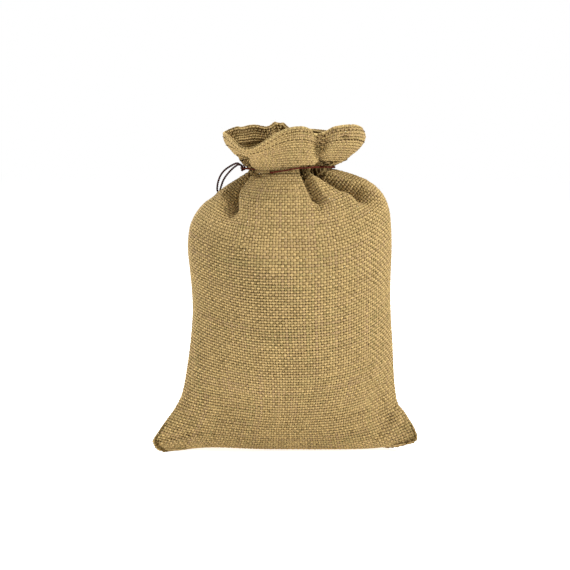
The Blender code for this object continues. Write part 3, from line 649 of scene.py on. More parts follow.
def yarn_pieces(name, rings, tones, painted_crown_shade, first, looped=False):
    """Pieces of every third yarn, so that none is too heavy. Each piece starts its fibre pattern
    at another number."""
    every = YARN_PIECES
    return [strands(f"{name}_{part + 1}", rings[part::every], looped, tones[part::every],
                    first + NUMBERS_APART * part, painted_crown_shade[part::every]) for part in range(every)]


print("weave pitch", round(WARP_PITCH, 3), "x", round(WEFT_PITCH, 3), "mm;",
      WARPS, "warps and", WEFTS, "wefts")

# %% Lay the warps, from the bottom seam up, over the rim and into the hem
quarters = (np.arange(2 * WEFTS) + 0.5) / 2
weft_number = np.floor(quarters).astype(int)
warp_number = np.arange(WARPS)[:, None]
run = np.broadcast_to(quarters * WEFT_PITCH, (WARPS, 2 * WEFTS))
over = np.where((warp_number + weft_number[None, :]) % 2 == 0, 1.0, -1.0)
wander = drifting(WARPS, 2 * WEFTS, *WANDER)
line = (warp_number + 0.5) * WARP_PITCH - HALF_ROUND + wander
path, out = on_cloth(line, run, YARN_RISE * over)
wide, thick = yarn_sizes(WARPS, 2 * WEFTS, WARP_HALF_WIDE, WARP_SLUBS)
warp_rings = rings_along(path, out, YARN_PROFILE, wide, thick)
# Painted shade: the warps' tone is set lower than the wefts', so the crossings show as a light and
# dark checker.
warp_tones = yarn_tones(WARPS, 2 * WEFTS) - WARP_PAINTED_SHADE
warps = yarn_pieces("warp_yarns", warp_rings, warp_tones, over, 0)
print("warps:", [triangles(piece) for piece in warps], "triangles")

# %% Lay the wefts, round and round, each a closed loop
crossings = np.arange(2 * WARPS)
across = (crossings + 0.5) / 2 * WARP_PITCH - HALF_ROUND
under_number = (crossings // 2)[None, :]
weft_row = np.arange(WEFTS)[:, None]
over = np.where((weft_row + under_number) % 2 == 0, -1.0, 1.0)
wander = looping(drifting(WEFTS, 2 * WARPS, *WANDER))
run = np.clip((weft_row + 0.5) * WEFT_PITCH + wander, LOWEST_RUN, RUN_LONG)
path, out = on_cloth(np.broadcast_to(across, run.shape), run, YARN_RISE * over)
forward = np.roll(path, -1, axis=1) - np.roll(path, 1, axis=1)
wide, thick = yarn_sizes(WEFTS, 2 * WARPS, WEFT_HALF_WIDE, WEFT_SLUBS, closed=True)
weft_rings = rings_facing(path, forward, out, YARN_PROFILE, wide, thick)
weft_tones = looping(yarn_tones(WEFTS, 2 * WARPS))
wefts = yarn_pieces("weft_yarns", weft_rings, weft_tones, over, FIRST_WEFT_NUMBER, looped=True)
print("wefts:", [triangles(piece) for piece in wefts], "triangles")

# %% [markdown]
# ## The cloth's middle
# Between the yarns of a filled sack there is more jute, in shade: loose fibres and the far side of the
# neighbours. A thin sheet through the middle of the weave stands for them and closes every
# hole. A grid fine enough for every fold would be heavy, so its rows lie close only where the
# cloth bends along its length: at the foot, the cord and the turn.

# %% The sheet's rows and columns, and its mesh
SHEET_COLUMNS = 240
SHEET_BANDS = (
    # row of the grid, run
    (0, 1.5), (18, 60.0), (27, 190.0), (38, 234.0), (49, 254.0), (58, TURN_AT),
    (65, TURN_AT + TURN_LONG), (68, RUN_LONG - EDGE_LONG), (69, RUN_LONG),
)
sheet_across = (np.arange(SHEET_COLUMNS) + 0.5) / SHEET_COLUMNS * CLOTH_ROUND - HALF_ROUND
sheet_run = np.interp(np.arange(SHEET_BANDS[-1][0] + 1), *np.transpose(SHEET_BANDS))


def grid_sheet(name, points):
    """A sheet whose rows close round: each four neighbours make a quad that faces outwards."""
    rows, columns = points.shape[:2]
    row, column = np.meshgrid(np.arange(rows - 1), np.arange(columns), indexing="ij")
    after = (column + 1) % columns
    quads = np.stack([row * columns + column, row * columns + after,
                      (row + 1) * columns + after, (row + 1) * columns + column], axis=-1)
    mesh = bpy.data.meshes.new(name)
    mesh.from_pydata((points * MM).reshape(-1, 3), [], quads.reshape(-1, 4))
    layout = np.stack(np.broadcast_arrays(
        np.stack([column, column + 1, column + 1, column], axis=-1) / columns,
        np.stack([row, row, row + 1, row + 1], axis=-1) / (rows - 1)), axis=-1)
    mesh.uv_layers.new(name="OFBake").data.foreach_set("uv", layout.astype(np.float32).ravel())
    mesh.shade_smooth()
    return linked(name, mesh)


print("sheet of", SHEET_COLUMNS, "columns and", len(sheet_run), "rows")

# %% [markdown]
# ## Flat facets in hollow folds
# Where the cloth is hollow, a flat facet between two corners stands out in front of it and would
# show as a dark blot between the yarns. So each corner sinks by as much as the facets round it
# stand out. In the ears the two layers of cloth nearly touch, and there the sheet stays in the
# middle of the yarns, or it would come out through the other layer.

# %% Sink the sheet behind the yarns
SHEET_SUNK, MOST_SUNK, MOST_SUNK_IN_RUFFLE = 0.16, 1.2, 0.2
EAR_SUNK, EAR_WIDE, EAR_FROM, EAR_EASE = -0.05, 12.0, 12.0, 16.0
SHEET_THICK, SHEET_LOWEST = 0.3, 0.2


def facets_stand_out(across, run):
    """How far flat facets between the corners of a grid stand out past the cloth: the middle of
    each facet and of each edge against the cloth's own point there. Every corner gets the most
    of its neighbours."""
    half = CLOTH_ROUND / len(across) / 2
    corners, _ = on_cloth(across[None, :], run[:, None])
    beside = np.roll(corners, -1, axis=1)
    between = (run[:-1] + run[1:]) / 2
    out_by = np.zeros(corners.shape[:2])
    for flat, places, rows, columns in (
            ((corners + beside) / 2, (across[None, :] + half, run[:, None]), (0,), (0, 1)),
            ((corners[:-1] + corners[1:]) / 2, (across[None, :], between[:, None]), (0, 1), (0,)),
            ((corners[:-1] + corners[1:] + beside[:-1] + beside[1:]) / 4,
             (across[None, :] + half, between[:, None]), (0, 1), (0, 1))):
        there, out = on_cloth(*places)
        past = ((flat - there) * out).sum(axis=-1)
        for row in rows:
            for column in columns:
                part = out_by[row:row + len(past)]
                np.maximum(part, np.roll(past, column, axis=1), out=part)
    return out_by


stand_out = facets_stand_out(sheet_across, sheet_run)
print("flat facets would stand out by up to", round(float(stand_out.max()), 2), "mm")
most_sunk = np.where(sheet_run < WAIST_UP, MOST_SUNK, MOST_SUNK_IN_RUFFLE)[:, None]
sunk = SHEET_SUNK + np.minimum(stand_out, most_sunk)
from_side = np.abs(np.abs(sheet_across) - QUARTER_ROUND)
in_ear = np.exp(-((from_side / EAR_WIDE) ** 2))[None, :] \
    * (1 - smoothstep((sheet_run - EAR_FROM) / EAR_EASE))[:, None]
sunk = sunk * (1 - in_ear) + EAR_SUNK * in_ear
middle, _ = on_cloth(sheet_across[None, :], sheet_run[:, None], -sunk)
middle[..., 2] = np.maximum(middle[..., 2], SHEET_LOWEST)
cloth = grid_sheet("cloth", middle)
thin = cloth.modifiers.new("thin", "SOLIDIFY")
thin.thickness = SHEET_THICK * MM
thin.offset = 0.0
print("sheet:", 2 * triangles(cloth), "triangles with both its faces")

# %% [markdown]
# ## The hem's stitches
# The hem is held by two rows of running stitch, one close under the rim and one seven millimetres
# lower, near the hem's raw edge. A drawn line of dashes would lie flat on the yarns. So each stitch
# is a short arch of dark thread that dives back into the cloth at both ends.

# %% Sew two rows of stitches on the outside and two on the inside
STITCH_PITCH, STITCH_LONG, STITCH_RINGS, STITCH_SIDES = 4.27, 1.7, 6, 5
STITCH_TILT, STITCH_UNEVEN = 0.12, 0.25
STITCH_DIVE, STITCH_ARCH, STITCH_BLUNT = -0.3, 1.05, 0.6
STITCH_RUNS = (
    # name, run along the cloth's path, shift along the row in stitches, half thickness of thread
    ("under_rim", TURN_AT - 2.2, 0.0, 0.42),
    ("hem_edge", TURN_AT - 9.4, 0.3, 0.42),
    ("under_rim_inside", TURN_AT + TURN_LONG + 2.2, 0.5, 0.28),
    ("hem_edge_inside", TURN_AT + TURN_LONG + 9.4, 0.8, 0.28),
)


def circle(sides):
    """Points of a ring of radius 1, the way round that makes a tube face outwards."""
    turn = np.arange(sides) * 2 * math.pi / sides
    return np.stack([np.cos(turn), np.sin(turn)], axis=1)


stitch_count = int(round(CLOTH_ROUND / STITCH_PITCH))
step_in = np.linspace(-0.5, 0.5, STITCH_RINGS)[None, :]
stitch_rings = []
for _name, stitch_run, shift, thread_half in STITCH_RUNS:
    middle_of = (np.arange(stitch_count)[:, None] + shift) * CLOTH_ROUND / stitch_count - HALF_ROUND
    tilt = random.normal(0.0, STITCH_TILT, (stitch_count, 1))
    at = middle_of + random.normal(0.0, STITCH_UNEVEN, (stitch_count, 1)) + step_in * STITCH_LONG
    arch = STITCH_DIVE + STITCH_ARCH * np.cos(math.pi * step_in) ** STITCH_BLUNT
    path, out = on_cloth(at, stitch_run + tilt * step_in * STITCH_LONG, arch)
    stitch_rings.append(rings_along(path, out, circle(STITCH_SIDES), thread_half, thread_half))
stitch_rings = np.concatenate(stitch_rings)
stitches = strands("hem_stitches", stitch_rings, tone=random.normal(0, 0.4, stitch_rings.shape[:2]))
print(len(stitch_rings), "stitches,", triangles(stitches), "triangles")

# %% [markdown]
# ## The waxed cord
# The cord is two plies twisted together, pulled tight round the neck, and knotted at the left. Its
# two ends hang over the shoulder behind and are joined by a second knot. A round tube would be
# the quick way. Here the profile is two circles side by side, turned as it goes along the path,
# which gives the slanting grooves of a twisted cord.
# The course is found as on the CAD part: on the outside of the drawn-in cloth, straight across the
# mouths of the folds, and in under the cloth where two folds close over it.

# %% The cord's sizes and places
CORD_THICK, CORD_CLEAR, CORD_STEP = 1.0, 0.35, 0.42
NECK_MIDDLE = np.array((2.0, -2.0))
CORD_HEIGHTS = np.array((
    # angle round the neck, height
    (-180.0, 205.2), (-120.0, 205.0), (-76.0, 206.6), (-45.0, 204.6), (-28.0, 203.7),
    (12.0, 206.8), (40.0, 207.5), (75.0, 207.3), (120.0, 206.0), (180.0, 205.2),
))
CORD_DIPS = (
    # name, from angle, to angle, depth inside the outer course
    ("under_front_panel", -66.0, -30.0, 4.2),
    ("under_right_ridge", 44.0, 60.0, 3.6),
)
DIP_EASE = 5.0
KNOT_ANGLE, KNOT_OUT, KNOT_EASE, KNOT_GAP_ANGLE = -76.0, 4.6, 14.0, 3.6
TAIL_ONE_AIR = (
    (-33.6, -10.9, 208.4), (-34.9, -10.2, 209.6), (-37.0, -8.2, 209.7), (-40.9, -4.8, 207.8),
    (-45.2, -0.6, 204.8), (-48.4, 3.2, 200.9), (-50.6, 7.2, 195.6), (-51.4, 10.6, 190.4),
    (-51.2, 12.6, 187.2),
)
TAIL_TWO_AIR = (
    (-32.8, -9.3, 208.0), (-33.9, -8.1, 209.0), (-36.0, -5.6, 208.5), (-39.4, -1.8, 206.0),
    (-43.6, 2.6, 201.6), (-46.6, 6.6, 197.2), (-48.5, 10.4, 192.4), (-50.2, 13.4, 187.4),
)
TAIL_ONE_LAID = ((-108.0, 205.0), (-110.0, 196.0), (-113.0, 186.0), (-116.5, 175.0), (-119.8, 165.1))
TAIL_TWO_LAID = ((-116.5, 203.0), (-119.5, 194.0), (-121.5, 184.0), (-122.0, 175.0), (-121.3, 165.1))
END_KNOT, END_KNOT_OUT = (-120.5, 162.6), 2.4


def laid(angle, up, out):
    """The point `out` off the cloth's smooth loop, at an angle round the sack and a height up the
    cloth: along the cross product of the steps round and up."""
    loops = smooth_loops(np.array([up - 0.5, up, up + 0.5]))
    at = int(round((angle + 180) / 360 * LOOP_STEPS))
    off = np.cross(loops[1, at + 1] - loops[1, at - 1], loops[2, at] - loops[0, at])
    return loops[1, at] + unit(off) * out


def evened(points, step):
    """Points at even distances of about `step` along a line."""
    along = lengths(points)
    stops = np.linspace(0, along[-1], max(2, round(along[-1] / step) + 1))
    return np.stack([np.interp(stops, along, points[:, axis]) for axis in range(3)], axis=1)


print("the neck's middle is at", NECK_MIDDLE, "mm")

# %% The cord's course round the neck
NECK_BELOW, NECK_ABOVE, NECK_BAND, ANGLE_STEP = 7.0, 9.0, 0.9, 0.5
up_near = np.linspace(WAIST_UP - NECK_BELOW, WAIST_UP + NECK_ABOVE, 33)
across_near = np.linspace(-HALF_ROUND, HALF_ROUND, 500, endpoint=False)
near_neck = cloth_surface(up_near, across_near).reshape(-1, 3)
angle_of = np.degrees(np.arctan2(near_neck[:, 0] - NECK_MIDDLE[0], NECK_MIDDLE[1] - near_neck[:, 1]))
level = np.abs(near_neck[:, 2] - np.interp(angle_of, *CORD_HEIGHTS.T)) < NECK_BAND
flat_neck = near_neck[level, :2]
# The cloth that reaches farthest in each direction is what a tight cord touches.
facing = np.radians(np.arange(0, 360, ANGLE_STEP))
looks = np.stack([np.sin(facing), -np.cos(facing)], axis=1)
farthest = flat_neck[np.argmax(flat_neck @ looks.T, axis=0)] + looks * (CORD_THICK / 2 + CORD_CLEAR)
off = farthest - NECK_MIDDLE
off_angle, off_radius = np.degrees(np.arctan2(off[:, 0], -off[:, 1])), np.linalg.norm(off, axis=1)
order = np.argsort(off_angle)
from_gap = np.arange(KNOT_GAP_ANGLE, 360 - KNOT_GAP_ANGLE + ANGLE_STEP / 2, ANGLE_STEP)
turned = angle_gap(KNOT_ANGLE + from_gap, 0)
radius = np.interp(turned, off_angle[order], off_radius[order], period=360)
for _name, first, last, depth in CORD_DIPS:
    radius -= depth * smoothstep((turned - first) / DIP_EASE) * smoothstep((last - turned) / DIP_EASE)
radius += KNOT_OUT * (1 - smoothstep(np.abs(angle_gap(turned, KNOT_ANGLE)) / KNOT_EASE))
course = np.stack([NECK_MIDDLE[0] + radius * np.sin(np.radians(turned)),
                   NECK_MIDDLE[1] - radius * np.cos(np.radians(turned)),
                   np.interp(turned, *CORD_HEIGHTS.T)], axis=1)
course = evened(course, CORD_STEP)
knot_middle = (course[0] + course[-1]) / 2
tail_paths = []
for air, rest in ((TAIL_ONE_AIR, TAIL_ONE_LAID), (TAIL_TWO_AIR, TAIL_TWO_LAID)):
    on_sack = [tuple(laid(*place, CORD_THICK / 2 + CORD_CLEAR)) for place in rest]
    tail_paths.append(evened(through(list(air) + on_sack, 12), CORD_STEP))
print("cord round the neck", round(lengths(course)[-1], 1), "mm, tails",
      [round(lengths(path)[-1], 1) for path in tail_paths], "mm")

# %% Twist two plies along a path
PLY_RADIUS, PLY_OFF, PLY_TWIST = 0.45, 0.28, 3.6
CORD_SIDES, TAIL_WIDER, INTO_KNOT = 10, 1.16, 0.7


def carried(path, start_out):
    """Outward directions along a path without needless turning: each is the last one, made square
    to the next step (parallel transport)."""
    forward = unit(np.gradient(path, axis=0))
    out = np.empty_like(path)
    last = np.array(start_out, float)
    for k, ahead in enumerate(forward):
        last = unit(last - ahead * (last @ ahead))
        out[k] = last
    return forward, out


def two_ply(turn):
    """Profile points of two circles pressed into each other, turned by an angle for each ring. At
    angle a from the line between their middles the outline is b|cos a| + sqrt(r squared - b squared
    sin squared a) from the centre, for circles of radius r whose middles are b from it."""
    angle = np.arange(CORD_SIDES) * 2 * math.pi / CORD_SIDES
    reach = PLY_OFF * np.abs(np.cos(angle)) + np.sqrt(PLY_RADIUS**2 - (PLY_OFF * np.sin(angle)) ** 2)
    turn = turn[:, None]
    return np.stack([reach * np.cos(angle + turn), reach * np.sin(angle + turn)], axis=-1)


def cord_rings(path, thick=1.0, start_out=(0, 0, 1)):
    """Rings of the twisted profile along one path, in millimetres; the twist is one turn for each
    PLY_TWIST of length, and `thick` scales them all."""
    forward, out = carried(path, start_out)
    sideways = np.cross(forward, out)
    profile = two_ply(lengths(path) * 2 * math.pi / PLY_TWIST) * thick
    rings = path[:, None] + sideways[:, None] * profile[:, :, :1] + out[:, None] * profile[:, :, 1:]
    return rings[None]


into = np.linspace(0, 1, 8)[:, None]
start_in = course[0] + (knot_middle - course[0]) * (1 - into[:-1]) * INTO_KNOT
end_in = course[-1] + (knot_middle - course[-1]) * into[1:] * INTO_KNOT
whole_course = np.concatenate([start_in, course, end_in])
drawcord = strands("cord_round_neck", cord_rings(evened(whole_course, CORD_STEP)), tone=1.0)
tails = [strands(f"cord_tail_{name}", cord_rings(path, TAIL_WIDER), tone=-1.0)
         for name, path in zip(("one", "two"), tail_paths)]
print("cord:", triangles(drawcord), "and tails:", [triangles(tail) for tail in tails], "triangles")

# %% [markdown]
# ## The knots
# A knot in thin cord is a small tight tangle: the same cord goes round itself three times or so. A
# trefoil is the simplest closed path that looks like it from every side, so both knots are the
# twisted cord carried along a trefoil, squeezed to the size of the CAD lump that stands for it.

# %% Tie both knots
KNOT_STEP, KNOT_SQUEEZED, KNOT_START_OUT = 0.26, 0.92, (0.3, 0.2, 1.0)
TIE_SIZE, END_SIZE, LAST_PART = (4.3, 4.3, 3.2), (4.0, 3.8, 3.2), 8


def trefoil(middle, size, axis, count=90):
    """A closed path round a torus, twice one way while three times the other. x and y are
    (2 + cos 3t) times cos 2t and sin 2t, z is sin 3t, and the whole is scaled to `size` and
    stood with z along `axis`."""
    t = np.linspace(0, 2 * math.pi, count, endpoint=False)
    ring = 2 + np.cos(3 * t)
    points = np.stack([ring * np.cos(2 * t), ring * np.sin(2 * t), np.sin(3 * t)], axis=1)
    points = points / np.abs(points).max(axis=0) * (np.array(size) / 2 - CORD_THICK / 2)
    turn = np.array(Vector(axis).to_track_quat("Z", "Y").to_matrix())
    return np.array(middle) + points @ turn.T


def knot(name, middle, size, axis):
    """The twisted cord along a trefoil, a little thinner because a tight knot squeezes it."""
    path = trefoil(middle, size, axis)
    closed = np.concatenate([path, path[:1]])
    return strands(name, cord_rings(evened(closed, KNOT_STEP), KNOT_SQUEEZED, KNOT_START_OUT))


knot_face = (knot_middle[0] - NECK_MIDDLE[0], knot_middle[1] - NECK_MIDDLE[1], 0.0)
tie = knot("cord_knot", knot_middle, TIE_SIZE, knot_face)
end_place = laid(*END_KNOT, END_KNOT_OUT)
tail_end = tail_paths[0][-1] - tail_paths[0][-LAST_PART]
end_tie = knot("cord_end_knot", end_place, END_SIZE, tail_end)
print("knots at", np.round(knot_middle, 1), "and", np.round(end_place, 1), "mm,",
      triangles(tie) + triangles(end_tie), "triangles")

# %% [markdown]
# ## Loose fibres
# Jute is hairy. Fine fibres stand off the yarns and catch the light along the outline. Blender's
# hair system could grow them, but it isn't a mesh that every program can show. So each hair is a
# very thin three-sided tube on a curved path, from a seeded random place on the cloth.

# %% Grow the fibres
HAIRS, HAIR_RINGS, HAIR_HALF, HAIR_LOWEST = 1300, 5, 0.045, 0.06
HAIR_LONG, HAIR_STAND, HAIR_CURL = (2.0, 7.0), (0.15, 0.75), 0.5
HAIR_LAID, HAIR_ROOT, HAIR_LOWEST_RUN = 0.8, 0.25, 2.0
hair_across = random.uniform(-HALF_ROUND, HALF_ROUND, (HAIRS, 1))
hair_run = random.uniform(4.0, RUN_LONG - 3.0, (HAIRS, 1))
hair_long = random.uniform(*HAIR_LONG, (HAIRS, 1))
hair_turn = random.uniform(0, 2 * math.pi, (HAIRS, 1))
hair_stand = random.uniform(*HAIR_STAND, (HAIRS, 1))
hair_curl = random.normal(0.0, HAIR_CURL, (HAIRS, 1))
gone = np.linspace(0, 1, HAIR_RINGS)[None, :]
lean = hair_turn + hair_curl * gone
side_to = hair_across + hair_long * gone * np.cos(lean) * HAIR_LAID
up_to = np.clip(hair_run + hair_long * gone * np.sin(lean) * HAIR_LAID, HAIR_LOWEST_RUN, RUN_LONG)
hair_path, hair_out = on_cloth(side_to, up_to, HAIR_ROOT + hair_long * hair_stand * gone**1.5)
hair_path[:, :, 2] = np.maximum(hair_path[:, :, 2], HAIR_LOWEST)
tapered = HAIR_HALF * (1.15 - gone)
hairs = strands("loose_fibres", rings_along(hair_path, hair_out, circle(3), tapered, tapered),
                tone=random.normal(0.5, 0.5, (HAIRS, HAIR_RINGS)))
print(HAIRS, "hairs,", triangles(hairs), "triangles")

# %% [markdown]
# ## Shader maths as Python
# A material is a graph of nodes, and long formulas are hard to read as a graph. The small class
# below wraps a node's output, so that `1 - mask * 0.5` adds the Math nodes it needs. `Nodes` has one
# method for every other node, and `Finish` is a material that is made with it.

# %% A value that does sums


class Value:
    """One output of a node. Sums, differences and products of values and numbers add Math nodes."""

    def __init__(self, nodes, socket):
        self.nodes, self.socket = nodes, socket

    def sum_with(self, operation, left, right):
        """A Math node of two values or numbers."""
        return self.nodes.node("ShaderNodeMath", {"operation": operation}, {0: left, 1: right})

    def __add__(self, other):
        return self.sum_with("ADD", self, other)

    def __radd__(self, other):
        return self.sum_with("ADD", other, self)

    def __sub__(self, other):
        return self.sum_with("SUBTRACT", self, other)

    def __rsub__(self, other):
        return self.sum_with("SUBTRACT", other, self)

    def __mul__(self, other):
        return self.sum_with("MULTIPLY", self, other)

    def __rmul__(self, other):
        return self.sum_with("MULTIPLY", other, self)


def rgb(red, green, blue):
    """An opaque colour for a socket."""
    return (red, green, blue, 1.0)


print("sums, differences and products of a", Value.__name__, "add Math nodes")

# %% Nodes of any kind, and a finish


class Nodes:
    """The nodes of one tree, built round its shader."""

    def __init__(self, owner, shader):
        owner.use_nodes = True
        self.tree = owner.node_tree
        self.shader = self.tree.nodes[shader]

    def fill(self, socket, content):
        """A socket gets a link or a number."""
        if isinstance(content, Value):
            self.tree.links.new(content.socket, socket)
        else:
            socket.default_value = content

    def node(self, kind, settings=None, inputs=None, output=0):
        """Any node: its settings are set first, then each socket gets a number or a link."""
        made = self.tree.nodes.new(kind)
        for label, setting in (settings or {}).items():
            setattr(made, label, setting)
        for label, content in (inputs or {}).items():
            self.fill(made.inputs[label], content)
        return Value(self, made.outputs[output])

    def set(self, label, content):
        """What the shader's socket of this name gets."""
        self.fill(self.shader.inputs[label], content)


class Finish(Nodes):
    """A material with a Principled shader. Its steady values are named as the shader's sockets."""

    def __init__(self, name, **steady):
        self.material = bpy.data.materials.new(name)
        super().__init__(self.material, "Principled BSDF")
        for label, number in steady.items():
            self.set(label.replace("_", " ").title().replace("Ior", "IOR"), number)

    def mix(self, share, first, second):
        """A colour `share` of the way from the first colour to the second."""
        return self.node("ShaderNodeMix", {"data_type": "RGBA", "clamp_factor": True},
                         {0: share, 6: first, 7: second}, 2)

    def fibre_noise(self, along, around, detail=2.0, shift=0.0):
        """Noise on the "strand" UV map, from 0 to 1: `along` and `around` are how many spots come to
        a millimetre each way."""
        uv = self.node("ShaderNodeUVMap", {"uv_map": "strand"})
        place = self.node("ShaderNodeVectorMath", {"operation": "MULTIPLY"},
                          {0: uv, 1: (along, around, 1.0)})
        place = self.node("ShaderNodeVectorMath", {"operation": "ADD"},
                          {0: place, 1: (shift, shift, shift)})
        return self.node("ShaderNodeTexNoise", {"noise_dimensions": "3D"},
                         {"Vector": place, "Scale": 1.0, "Detail": detail, "Roughness": 0.6})

    def attribute(self, name):
        """A number that the mesh carries at each of its points."""
        return self.node("ShaderNodeAttribute", {"attribute_name": name}, output=2)

    def bump(self, height, strength, distance):
        """Normals tipped as if the surface stood out by `height` times a distance in metres."""
        return self.node("ShaderNodeBump", {},
                         {"Strength": strength, "Distance": distance, "Height": height})


print("finishes are made by one class,", Finish.__name__)

# %% [markdown]
# ## Finishes
# Jute is a bundle of flat, slightly silky fibres, so it gets long fine streaks along the yarn,
# slow drifts between straw, warm tan and a faint olive, and a dull surface with a little bump.
# Where a yarn comes to the top it is painted lighter, and where it dives under it gets painted shade.
# The sheet in the middle is painted the dark colour of the same jute in deep shade. The cord is dark
# red-brown and waxed, which shows as a lower roughness than the jute's and a faint, uneven coat.

# %% Jute yarn, seen from near and from far
jute = Finish("jute_yarn", roughness=0.88, metallic=0.0, specular_ior_level=0.15)
streaks = jute.fibre_noise(0.35, 7.0, 3.0)
drift = jute.fibre_noise(0.045, 0.11, 1.0, 40.0)
hue = jute.fibre_noise(0.02, 0.09, 0.0, 90.0)
# Painted shade: yarns are made lighter where they lie over a crossing and darker where they dive
# under.
painted_crown_shade = jute.attribute("painted_crown_shade")
lightness = 0.53 + 0.40 * painted_crown_shade + 0.19 * jute.attribute("tone") \
    + 0.8 * (streaks - 0.5) + 0.12 * (drift - 0.5)
shade = jute.mix(lightness, rgb(0.095, 0.054, 0.010), rgb(0.555, 0.395, 0.168))
shade = jute.mix(2.4 * (hue - 0.54), shade, rgb(0.360, 0.235, 0.125))
shade = jute.mix(2.0 * (0.44 - hue), shade, rgb(0.290, 0.235, 0.090))
jute.set("Base Color", shade)
jute.set("Roughness", 0.96 - 0.16 * streaks)
jute.set("Normal", jute.bump(streaks, 0.5, 0.12 * MM))
for piece in warps + wefts:
    piece.data.materials.append(jute.material)
print("jute goes on", len(warps + wefts), "pieces")

# %% The shaded middle
shaded = Finish("jute_in_shade", roughness=0.95, metallic=0.0, specular_ior_level=0.0)
place = shaded.node("ShaderNodeTexCoord", output=3)
grain = shaded.node("ShaderNodeTexNoise", {}, {"Vector": place, "Scale": 900.0, "Detail": 2.0})
# Painted shade: the sheet's dark colour stands for the shaded jute seen through the holes between the
# yarns.
shaded.set("Base Color", shaded.mix(grain, rgb(0.026, 0.012, 0.001), rgb(0.050, 0.025, 0.004)))
shaded.set("Roughness", 0.9 + 0.08 * grain)
shaded.set("Normal", shaded.bump(grain, 0.4, 0.1 * MM))
cloth.data.materials.append(shaded.material)
print("the sheet wears", shaded.material.name)

# %% The thread and the loose fibres
thread = Finish("hem_thread", roughness=0.8, metallic=0.0, specular_ior_level=0.1)
twist = thread.fibre_noise(0.8, 6.0, 2.0)
thread.set("Base Color", thread.mix(twist + 0.2 * thread.attribute("tone"),
                                    rgb(0.050, 0.025, 0.007), rgb(0.120, 0.066, 0.022)))
thread.set("Roughness", 0.72 + 0.16 * twist)
thread.set("Normal", thread.bump(twist, 0.4, 0.08 * MM))
stitches.data.materials.append(thread.material)

fibre = Finish("loose_fibre", roughness=0.75, metallic=0.0)
fibre.set("Base Color", fibre.mix(0.5 + 0.3 * fibre.attribute("tone"),
                                  rgb(0.30, 0.20, 0.09), rgb(0.60, 0.45, 0.24)))
hairs.data.materials.append(fibre.material)
print("the stitches wear", thread.material.name, "and the hairs", fibre.material.name)

# %% Waxed cord
waxed = Finish("waxed_cord", metallic=0.0, coat_roughness=0.35, specular_ior_level=0.2)
strand_noise = waxed.fibre_noise(0.9, 5.0, 3.0)
worn = waxed.fibre_noise(0.12, 0.4, 2.0, 15.0)
redness = 0.15 + 0.9 * (strand_noise - 0.35) + 0.5 * (worn - 0.5) + 0.15 * waxed.attribute("tone")
waxed.set("Base Color", waxed.mix(redness, rgb(0.006, 0.001, 0.0003), rgb(0.190, 0.022, 0.003)))
waxed.set("Roughness", 0.58 + 0.22 * strand_noise)
waxed.set("Coat Weight", 0.01 + 0.05 * worn)
waxed.set("Normal", waxed.bump(strand_noise, 0.35, 0.08 * MM))
for piece in [drawcord, tie, end_tie] + tails:
    piece.data.materials.append(waxed.material)
print("the cord's", len(tails) + 3, "pieces wear", waxed.material.name)

for piece in warps + wefts + [cloth, stitches, hairs]:
    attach(piece, "root")
for piece in [drawcord, tie, end_tie] + tails:
    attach(piece, "root")
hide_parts("sack")
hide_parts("drawcord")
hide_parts("tie_knot")
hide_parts("end_knot")
warps + wefts + [stitches, hairs]
for tail, path, node in zip(tails, tail_paths, ("tail_one", "tail_two")):
    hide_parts(node)
    path[0] * MM
    path * MM
print("flat cloth", round(CLOTH_ROUND), "x", round(RUN_LONG), "mm")

# %% [markdown]
# ## Studio and camera
# A white floor that runs out of sight and a white sky give the plain white ground of a product
# picture. A soft light from the upper right in front models the folds, one from behind at the left
# draws that edge, and one above rakes down the weave and lights the shoulders. The camera stands
# 1.1 m away, six degrees above level, with a long lens.

# %% Floor and sky
FLOOR_HALF, SKY_LIGHTS = 6.0, 0.21
floor_mesh = bpy.data.meshes.new("floor")
floor_mesh.from_pydata([(-FLOOR_HALF, -FLOOR_HALF, 0), (FLOOR_HALF, -FLOOR_HALF, 0),
                        (FLOOR_HALF, FLOOR_HALF, 0), (-FLOOR_HALF, FLOOR_HALF, 0)], [], [(0, 1, 2, 3)])
floor = linked("floor", floor_mesh)
paper = Finish("white_floor", roughness=0.9)
paper.set("Base Color", rgb(0.92, 0.92, 0.92))
paper.set("Emission Color", rgb(1.0, 1.0, 1.0))
paper.set("Emission Strength", 0.80)
floor_mesh.materials.append(paper.material)

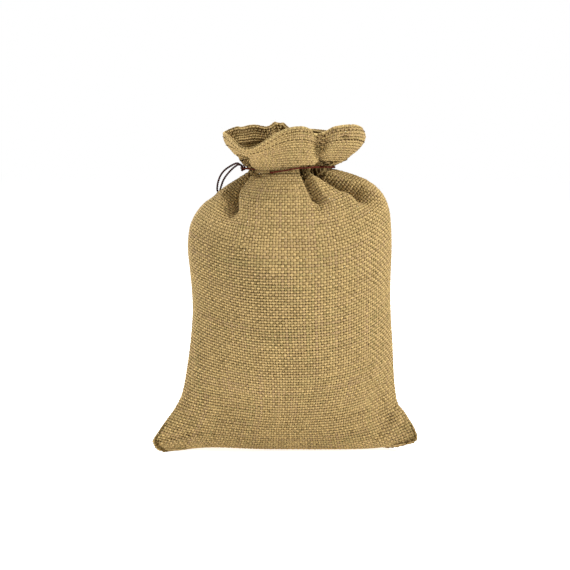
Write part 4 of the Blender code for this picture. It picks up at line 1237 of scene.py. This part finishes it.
sky = bpy.data.worlds.new("white_sky")
sky_nodes = Nodes(sky, "Background")
seen = sky_nodes.node("ShaderNodeLightPath", output="Is Camera Ray")
sky_nodes.set("Color", rgb(1.0, 1.0, 1.0))
sky_nodes.set("Strength", sky_nodes.node("ShaderNodeMapRange", {},
                                         {"Value": seen, "To Min": SKY_LIGHTS, "To Max": 1.0}))
bpy.context.scene.world = sky
print("the camera sees a white sky, which lights the sack at", SKY_LIGHTS)

# %% Three soft lights
SACK_MIDDLE = Vector((0.0, 0.0, 0.12))


def soft_light(name, place, size, watts):
    """A square area light that looks at the middle of the sack."""
    data = bpy.data.lights.new(name, "AREA")
    data.size, data.energy = size, watts
    lamp = linked(name, data)
    lamp.location = place
    lamp.rotation_euler = (SACK_MIDDLE - Vector(place)).to_track_quat("-Z", "Y").to_euler()


soft_light("key", (1.10, -0.38, 1.18), 0.30, 18.2)
soft_light("left_edge", (-1.0, 0.86, 1.0), 0.5, 27.0)
soft_light("top", (0.1, -0.1, 1.5), 0.5, 14.5)
print("lights:", [light.name for light in bpy.data.lights])

# %% Camera
CAMERA_FAR, CAMERA_RISE = 1.1, math.radians(6.0)
MM_PER_PIXEL, PICTURE, SENSOR = 0.734, 570, 36.0
LOOK_AT = Vector((-0.0015, 0.0, 0.1206))
lens = bpy.data.cameras.new("camera")
lens.sensor_width = SENSOR
lens.lens = SENSOR * CAMERA_FAR / (PICTURE * MM_PER_PIXEL * MM)
camera = linked("camera", lens)
camera.location = LOOK_AT + CAMERA_FAR * Vector((0.0, -math.cos(CAMERA_RISE), math.sin(CAMERA_RISE)))
camera.rotation_euler = (math.pi / 2 - CAMERA_RISE, 0.0, 0.0)
bpy.context.scene.camera = camera
bpy.context.scene.view_settings.view_transform = "Standard"
print("lens", round(lens.lens, 1), "mm")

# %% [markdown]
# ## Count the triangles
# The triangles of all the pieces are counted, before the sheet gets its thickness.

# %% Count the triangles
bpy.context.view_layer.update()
made = warps + wefts + [cloth, stitches, hairs, drawcord, tie, end_tie] + tails
print(sum(triangles(piece) for piece in made), "triangles in", len(made),
      "pieces, before the sheet gets its thickness")
